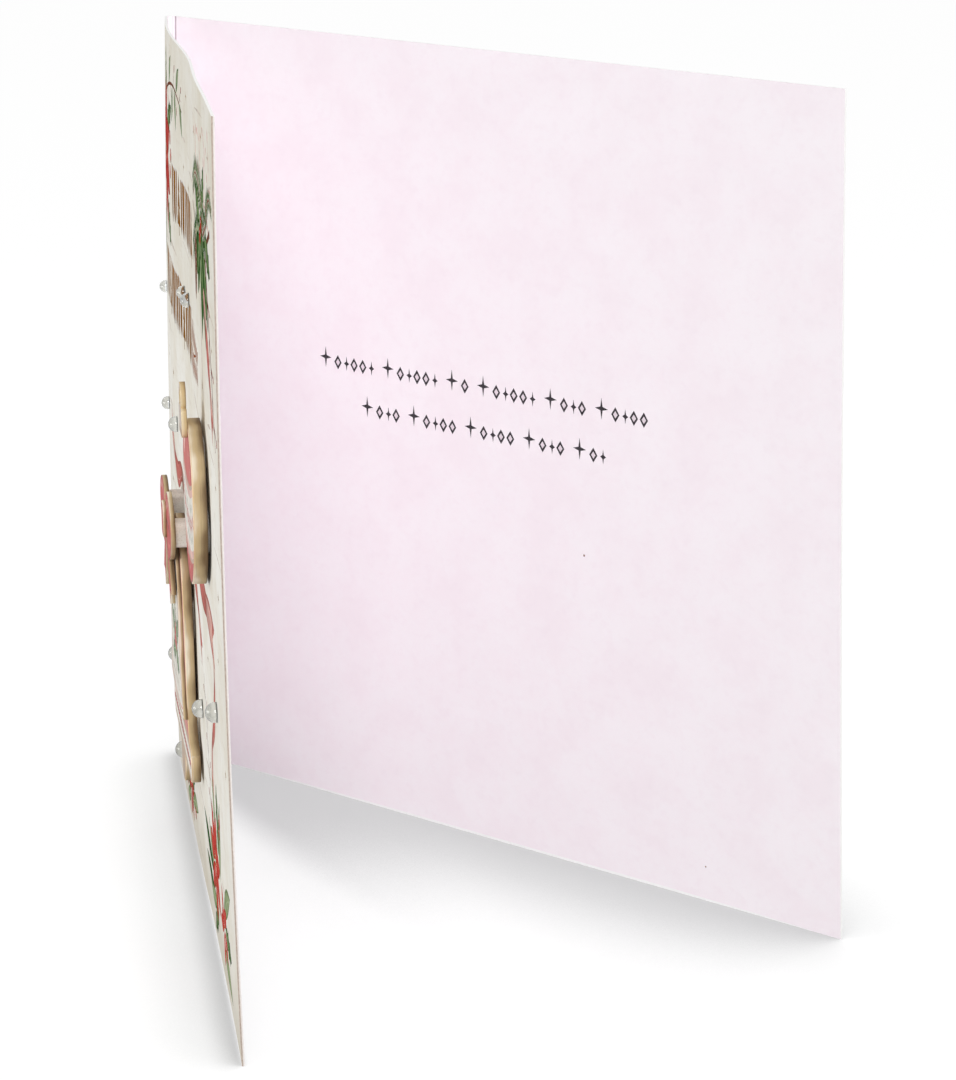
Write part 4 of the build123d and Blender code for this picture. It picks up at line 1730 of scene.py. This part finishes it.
def panel_print(loop):
    face = Print(CREAM)
    rims = (0.55, GOLD, 1.0), (1.15, CREAM, 0.0), (1.6, toned(ROSE, 1.1), 0.0), (1.95, CREAM, 0.0)
    nested(face, loop, rims)
    for height, reach in ((13.2, 4), (34.6, 3)):
        for k in range(-reach, reach + 1):
            face.lay(star((k * 2.6, height), 0.8, 0.3, 4), GOLD, 1.0)
    for foot, x, head in ((20, 9.0, 26.5), (19, 8.0, 16.6)):
        for side in (-1, 1):
            paint_holly(face, (0, foot), (side * x, head), 5.4, DEEP_GREEN, SAGE)
    paint_fir(face, [(0, 21), (0.4, 26), (0, 31.5)], 4.0, 31)
    for centre, radius in (((-1.5, 20.4), 1.5), ((1.5, 20.2), 1.5), ((0, 22.6), 1.4)):
        paint_berry(face, centre, radius)
    return face


# %% [markdown]
# The bow is ribbon folded from one strip, so its print has a dark fold that runs out of the knot
# along each loop, with lighter bands above and below it, and two creases down each tail. The knot
# has three short creases where it pinches the ribbon.


# %% Compose the bow and its knot
def bow_print(loop):
    face = Print(RED)
    face.lay(loop * 1.02, DEEP_RED)
    nested(face, loop, ((0.35, RED, 0.0),))
    for side in (-1, 1):
        for bend, widths, shade in (
            (((1.0, 1.2), (7.0, 4.6), (13.0, 3.2)), (0.5, 0.8, 1.6), ROSE),
            (((1.5, 0.2), (7.0, 0.6), (12.4, 0.2)), (0.3, 0.4, 1.2), DEEP_RED),
            (((1.5, -0.8), (7.0, -3.2), (12.0, -2.0)), (0.3, 0.4, 1.1), LIGHT_RED),
        ):
            face.lay(stroke([(side * x, y) for x, y in bend], *widths), shade)
        angle = math.radians(34) * side
        down = np.array((math.sin(angle), -math.cos(angle)))
        out = np.array((math.cos(angle), math.sin(angle)))
        for offset, shade, width in ((-0.9, ROSE, 0.5), (0.8, DEEP_RED, 0.4)):
            aside = out * offset
            crease = [down * 3 + aside * 0.6, down * 8 + aside * 0.8, down * 13.2 + aside]
            face.lay(stroke(crease, 0.3, width), shade)
    return face


def knot_print(loop):
    face = Print(RED)
    face.lay(loop * 1.02, DEEP_RED)
    nested(face, loop, ((0.3, RED, 0.0),))
    for offset, shade in ((-1.1, LIGHT_RED), (0.0, ROSE), (1.2, DEEP_RED)):
        face.lay(stroke([(offset, 1.9), (offset * 0.5, 0.0), (offset, -1.9)], 0.3, 0.3, 0.7), shade)
    return face


# %% [markdown]
# Each board is now built on its own CAD node. The bow's front edge is left sharp, because its
# notches are too narrow to round.

# %% Build the bell, the panel, the bow and the knot
for name, node, middle, compose, rounding, step in (
    ("bell_board", "bell", bell_mouth, bell_print, 0.25, 0.55),
    ("bell_panel_board", "bell_panel", bell_mouth, panel_print, 0.25, 0.55),
    ("bow_board", "bow", bow_middle, bow_print, 0.0, 0.55),
    ("knot_board", "bow_knot", bow_middle, knot_print, 0.25, 0.3),
):
    build_board(name, node, middle, compose, board_finishes, "raised_board", rounding, step)

# %% [markdown]
# ## The bauble and its cap
#
# The bauble is the thickest board. Its print bends its bands as they'd bend round a ball, with
# a pale gleam at the upper left. The cap is gold all over, with its ribs printed darker.

# %% Build the bauble and its cap
BAUBLE_ACROSS, BAUBLE_UP, BAUBLE_RADIUS = 119.0, 83.0, 13.5
bauble_middle = on_cover(BAUBLE_ACROSS, BAUBLE_UP)


def sag(x):
    """How far a band has come down at a distance from the middle, as on the front of a ball."""
    return (x / 14) ** 2 * 3.0 - 3.0


def bauble_print(loop):
    face = Print(RED)
    face.lay(loop * 1.02, DEEP_RED)
    face.lay(circle((0, 0), BAUBLE_RADIUS - 0.5, 60), RED)
    face.lay(circle((-0.8, 0.9), BAUBLE_RADIUS - 2.2, 50), toned(LIGHT_RED, 0.86))
    edge = np.linspace(-14, 14, 25)
    for low, high, ink, foil in (
        (-6.4, -5.7, GOLD, 1.0), (-5.7, 5.7, BLUSH, 0.0), (5.7, 6.4, GOLD, 1.0),
        (-4.4, 4.4, CREAM, 0.0),
    ):
        lower, upper = (np.column_stack((edge, height + sag(edge))) for height in (low, high))
        face.lay(np.vstack((lower, upper[::-1])), ink, foil)
    for k in range(-3, 4):
        x = k * 4.1
        face.lay(star((x, sag(x)), 1.9, 0.75, 6), RED)
        face.lay(circle((x, sag(x)), 0.45, 8), GOLD, 1.0)
        if k < 3:
            x += 2.05
            for up_or_down in (-2.6, 2.6):
                face.lay(lozenge((x, sag(x) + up_or_down), 0.4, 0.85), DEEP_GREEN)
    face.lay(leaf((-8.6, 6.0), (-3.0, 10.6), 2.0, 0.9), toned(BLUSH, 1.1))
    for x, y in ((3.5, 8.6), (7.2, 6.4), (-4.0, -9.6), (1.0, -10.8), (5.6, -9.0)):
        face.lay(star((x, y), 0.8, 0.3, 4), GOLD, 1.0)
    return face


def cap_print(loop):
    face = Print(GOLD)
    face.lay(loop * 1.1, GOLD, 1.0)
    low, high = 11.6, 15.6
    for x in np.arange(-3.0, 3.1, 1.2):
        rib = [(x - 0.16, low), (x + 0.16, low), (x + 0.16, high), (x - 0.16, high)]
        face.lay(rib, toned(GOLD, 0.55), 0.9)
    return face


for name, node, compose, finishes, slot, rounding, step in (
    ("bauble_board", "bauble", bauble_print, board_finishes, "raised_board", 0.25, 0.6),
    ("bauble_cap_board", "bauble_cap", cap_print, gold_finishes, "gold_board", 0.0, 0.35),
):
    build_board(name, node, bauble_middle, compose, finishes, slot, rounding, step)

# %% [markdown]
# ## Foam pads
#
# The pads are what holds the boards off the cover. They keep the CAD model's own shape, and get
# the finish of cut foam, which is off-white with small open cells.

# %% Finish the foam pads
foam = Finish("cut_foam", roughness=0.95, specular_ior_level=0.1)
here = foam.add("ShaderNodeTexCoord", output="Object")
cells = foam.add("ShaderNodeTexVoronoi", {"feature": "F1"}, {"Vector": here, "Scale": 3200.0})
foam.into(
    base_color=foam.mix(cells.rising(0.15, 0.6), colour(230, 225, 215), colour(244, 240, 233)),
    normal=foam.bump(cells, 0.25, 0.00006),
)
for name in ("bell_foam_pads", "bow_foam_pads", "bauble_foam_pads"):
    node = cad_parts[name]
    node.data.materials.clear()
    node.data.materials.append(foam.material)
print("foam pads finished")

# %% [markdown]
# ## Clear gems
#
# Each gem is a half ball of clear resin with a flat back. The resin has a painted grey reflection
# over its top and in patches, and a painted contact shadow at its foot. Its back has painted
# reflections in grey and white patches, with painted shade round its rim. Both patch patterns are
# read at the gem's own place on the card, so no two gems are alike.

# %% Make the resin and the gems' backs
gem_clear = Finish("clear_resin", roughness=0.015, ior=1.58, transmission_weight=1.0)
place = gem_clear.attribute(FLAT, "Vector")
# Painted contact shadow: the resin darkens at its foot.
painted_contact_shadow = gem_clear.part(place, 2).rising(0.13, 0.05)
reflection_patches = gem_clear.noise(gem_clear.attribute("seat", "Vector"), 0.8, 2.0, 0.5, 0.6)
# Painted grey reflection: the resin greys towards its top and in patches.
painted_grey_reflection = gem_clear.part(place, 2).rising(0.5, 1.2) * 0.40 + reflection_patches.rising(0.46, 0.58) * 0.30
resin = gem_clear.mix(painted_grey_reflection, colour(248, 250, 250), colour(140, 144, 140))
gem_clear.into(base_color=gem_clear.mix(painted_contact_shadow, resin, colour(58, 60, 58)))
gem_glue = Finish("gem_glue", roughness=0.3, specular_ior_level=0.5)
place = gem_glue.attribute(FLAT, "Vector")
rim = gem_glue.add("ShaderNodeVectorMath", {"operation": "LENGTH"}, {0: place}, output="Value")
reflection_patches = gem_glue.noise(gem_glue.attribute("seat", "Vector"), 0.9, 2.0, 0.5, 0.6)
# Painted reflection: grey and white patches on the back.
painted_reflection_back = gem_glue.mix(reflection_patches.rising(0.44, 0.56), colour(128, 130, 127), colour(253, 253, 251))
# Painted shade: a dark rim round the back's edge.
gem_glue.into(base_color=gem_glue.mix(rim.rising(1.15, 1.45) * 0.9, painted_reflection_back, colour(44, 44, 42)))
gem_finishes = [gem_clear, gem_glue]
print("gem finishes:", [finish.material.name for finish in gem_finishes])

# %% [markdown]
# A clear dome shows every facet, so each gem is turned as a fine lathe shape on the CAD gem's own
# seat: a short upright girdle, a quarter round to the top, and a flat fan underneath.

# %% Build the gems
GEMS = 9
GEM_GIRDLE = 0.25
GEM_SIDES, GEM_STEPS = 40, 15


def build_gem(node):
    loops, in_space, depth = outline_of(node, (0.0, 0.0, 0.0))
    centre = loops[0].mean(0)
    radius = np.linalg.norm(loops[0] - centre, axis=1).mean()
    rise = depth - GEM_GIRDLE
    profile = [(radius, 0.0), (radius, GEM_GIRDLE * 0.5), (radius, GEM_GIRDLE)]
    for turn in np.linspace(0, math.pi / 2, GEM_STEPS)[1:-1]:
        profile.append((radius * math.cos(turn), GEM_GIRDLE + rise * math.sin(turn)))
    around = [(k, (k + 1) % GEM_SIDES) for k in range(GEM_SIDES)]
    turns = [k * math.tau / GEM_SIDES for k in range(GEM_SIDES)]
    flat = [(r * math.cos(turn), r * math.sin(turn), up) for r, up in profile for turn in turns]
    flat += [(0.0, 0.0, depth), (0.0, 0.0, 0.0)]
    points = [in_space(centre[0] + x, centre[1] + y, up) for x, y, up in flat]
    top, foot = len(points) - 2, len(points) - 1
    faces = []
    for level in range(len(profile) - 1):
        a, b = level * GEM_SIDES, (level + 1) * GEM_SIDES
        faces.extend((a + k, a + n, b + n, b + k) for k, n in around)
    faces.extend((b + k, b + n, top) for k, n in around)
    faces.extend((n, k, foot) for k, n in around)
    kinds = [0] * (len(faces) - GEM_SIDES) + [1] * GEM_SIDES
    piece = make_piece(node + "_dome", points, faces, gem_finishes, kinds, "clear_gem", node)
    add_attribute(piece, FLAT, "FLOAT_VECTOR", "POINT", flat)
    add_attribute(piece, "seat", "FLOAT_VECTOR", "POINT", points)


for number in range(1, GEMS + 1):
    build_gem(f"gem_{number}")
print("gems:", GEMS)

# %% [markdown]
# ## The end

# %% Update the scene and finish
bpy.context.view_layer.update()
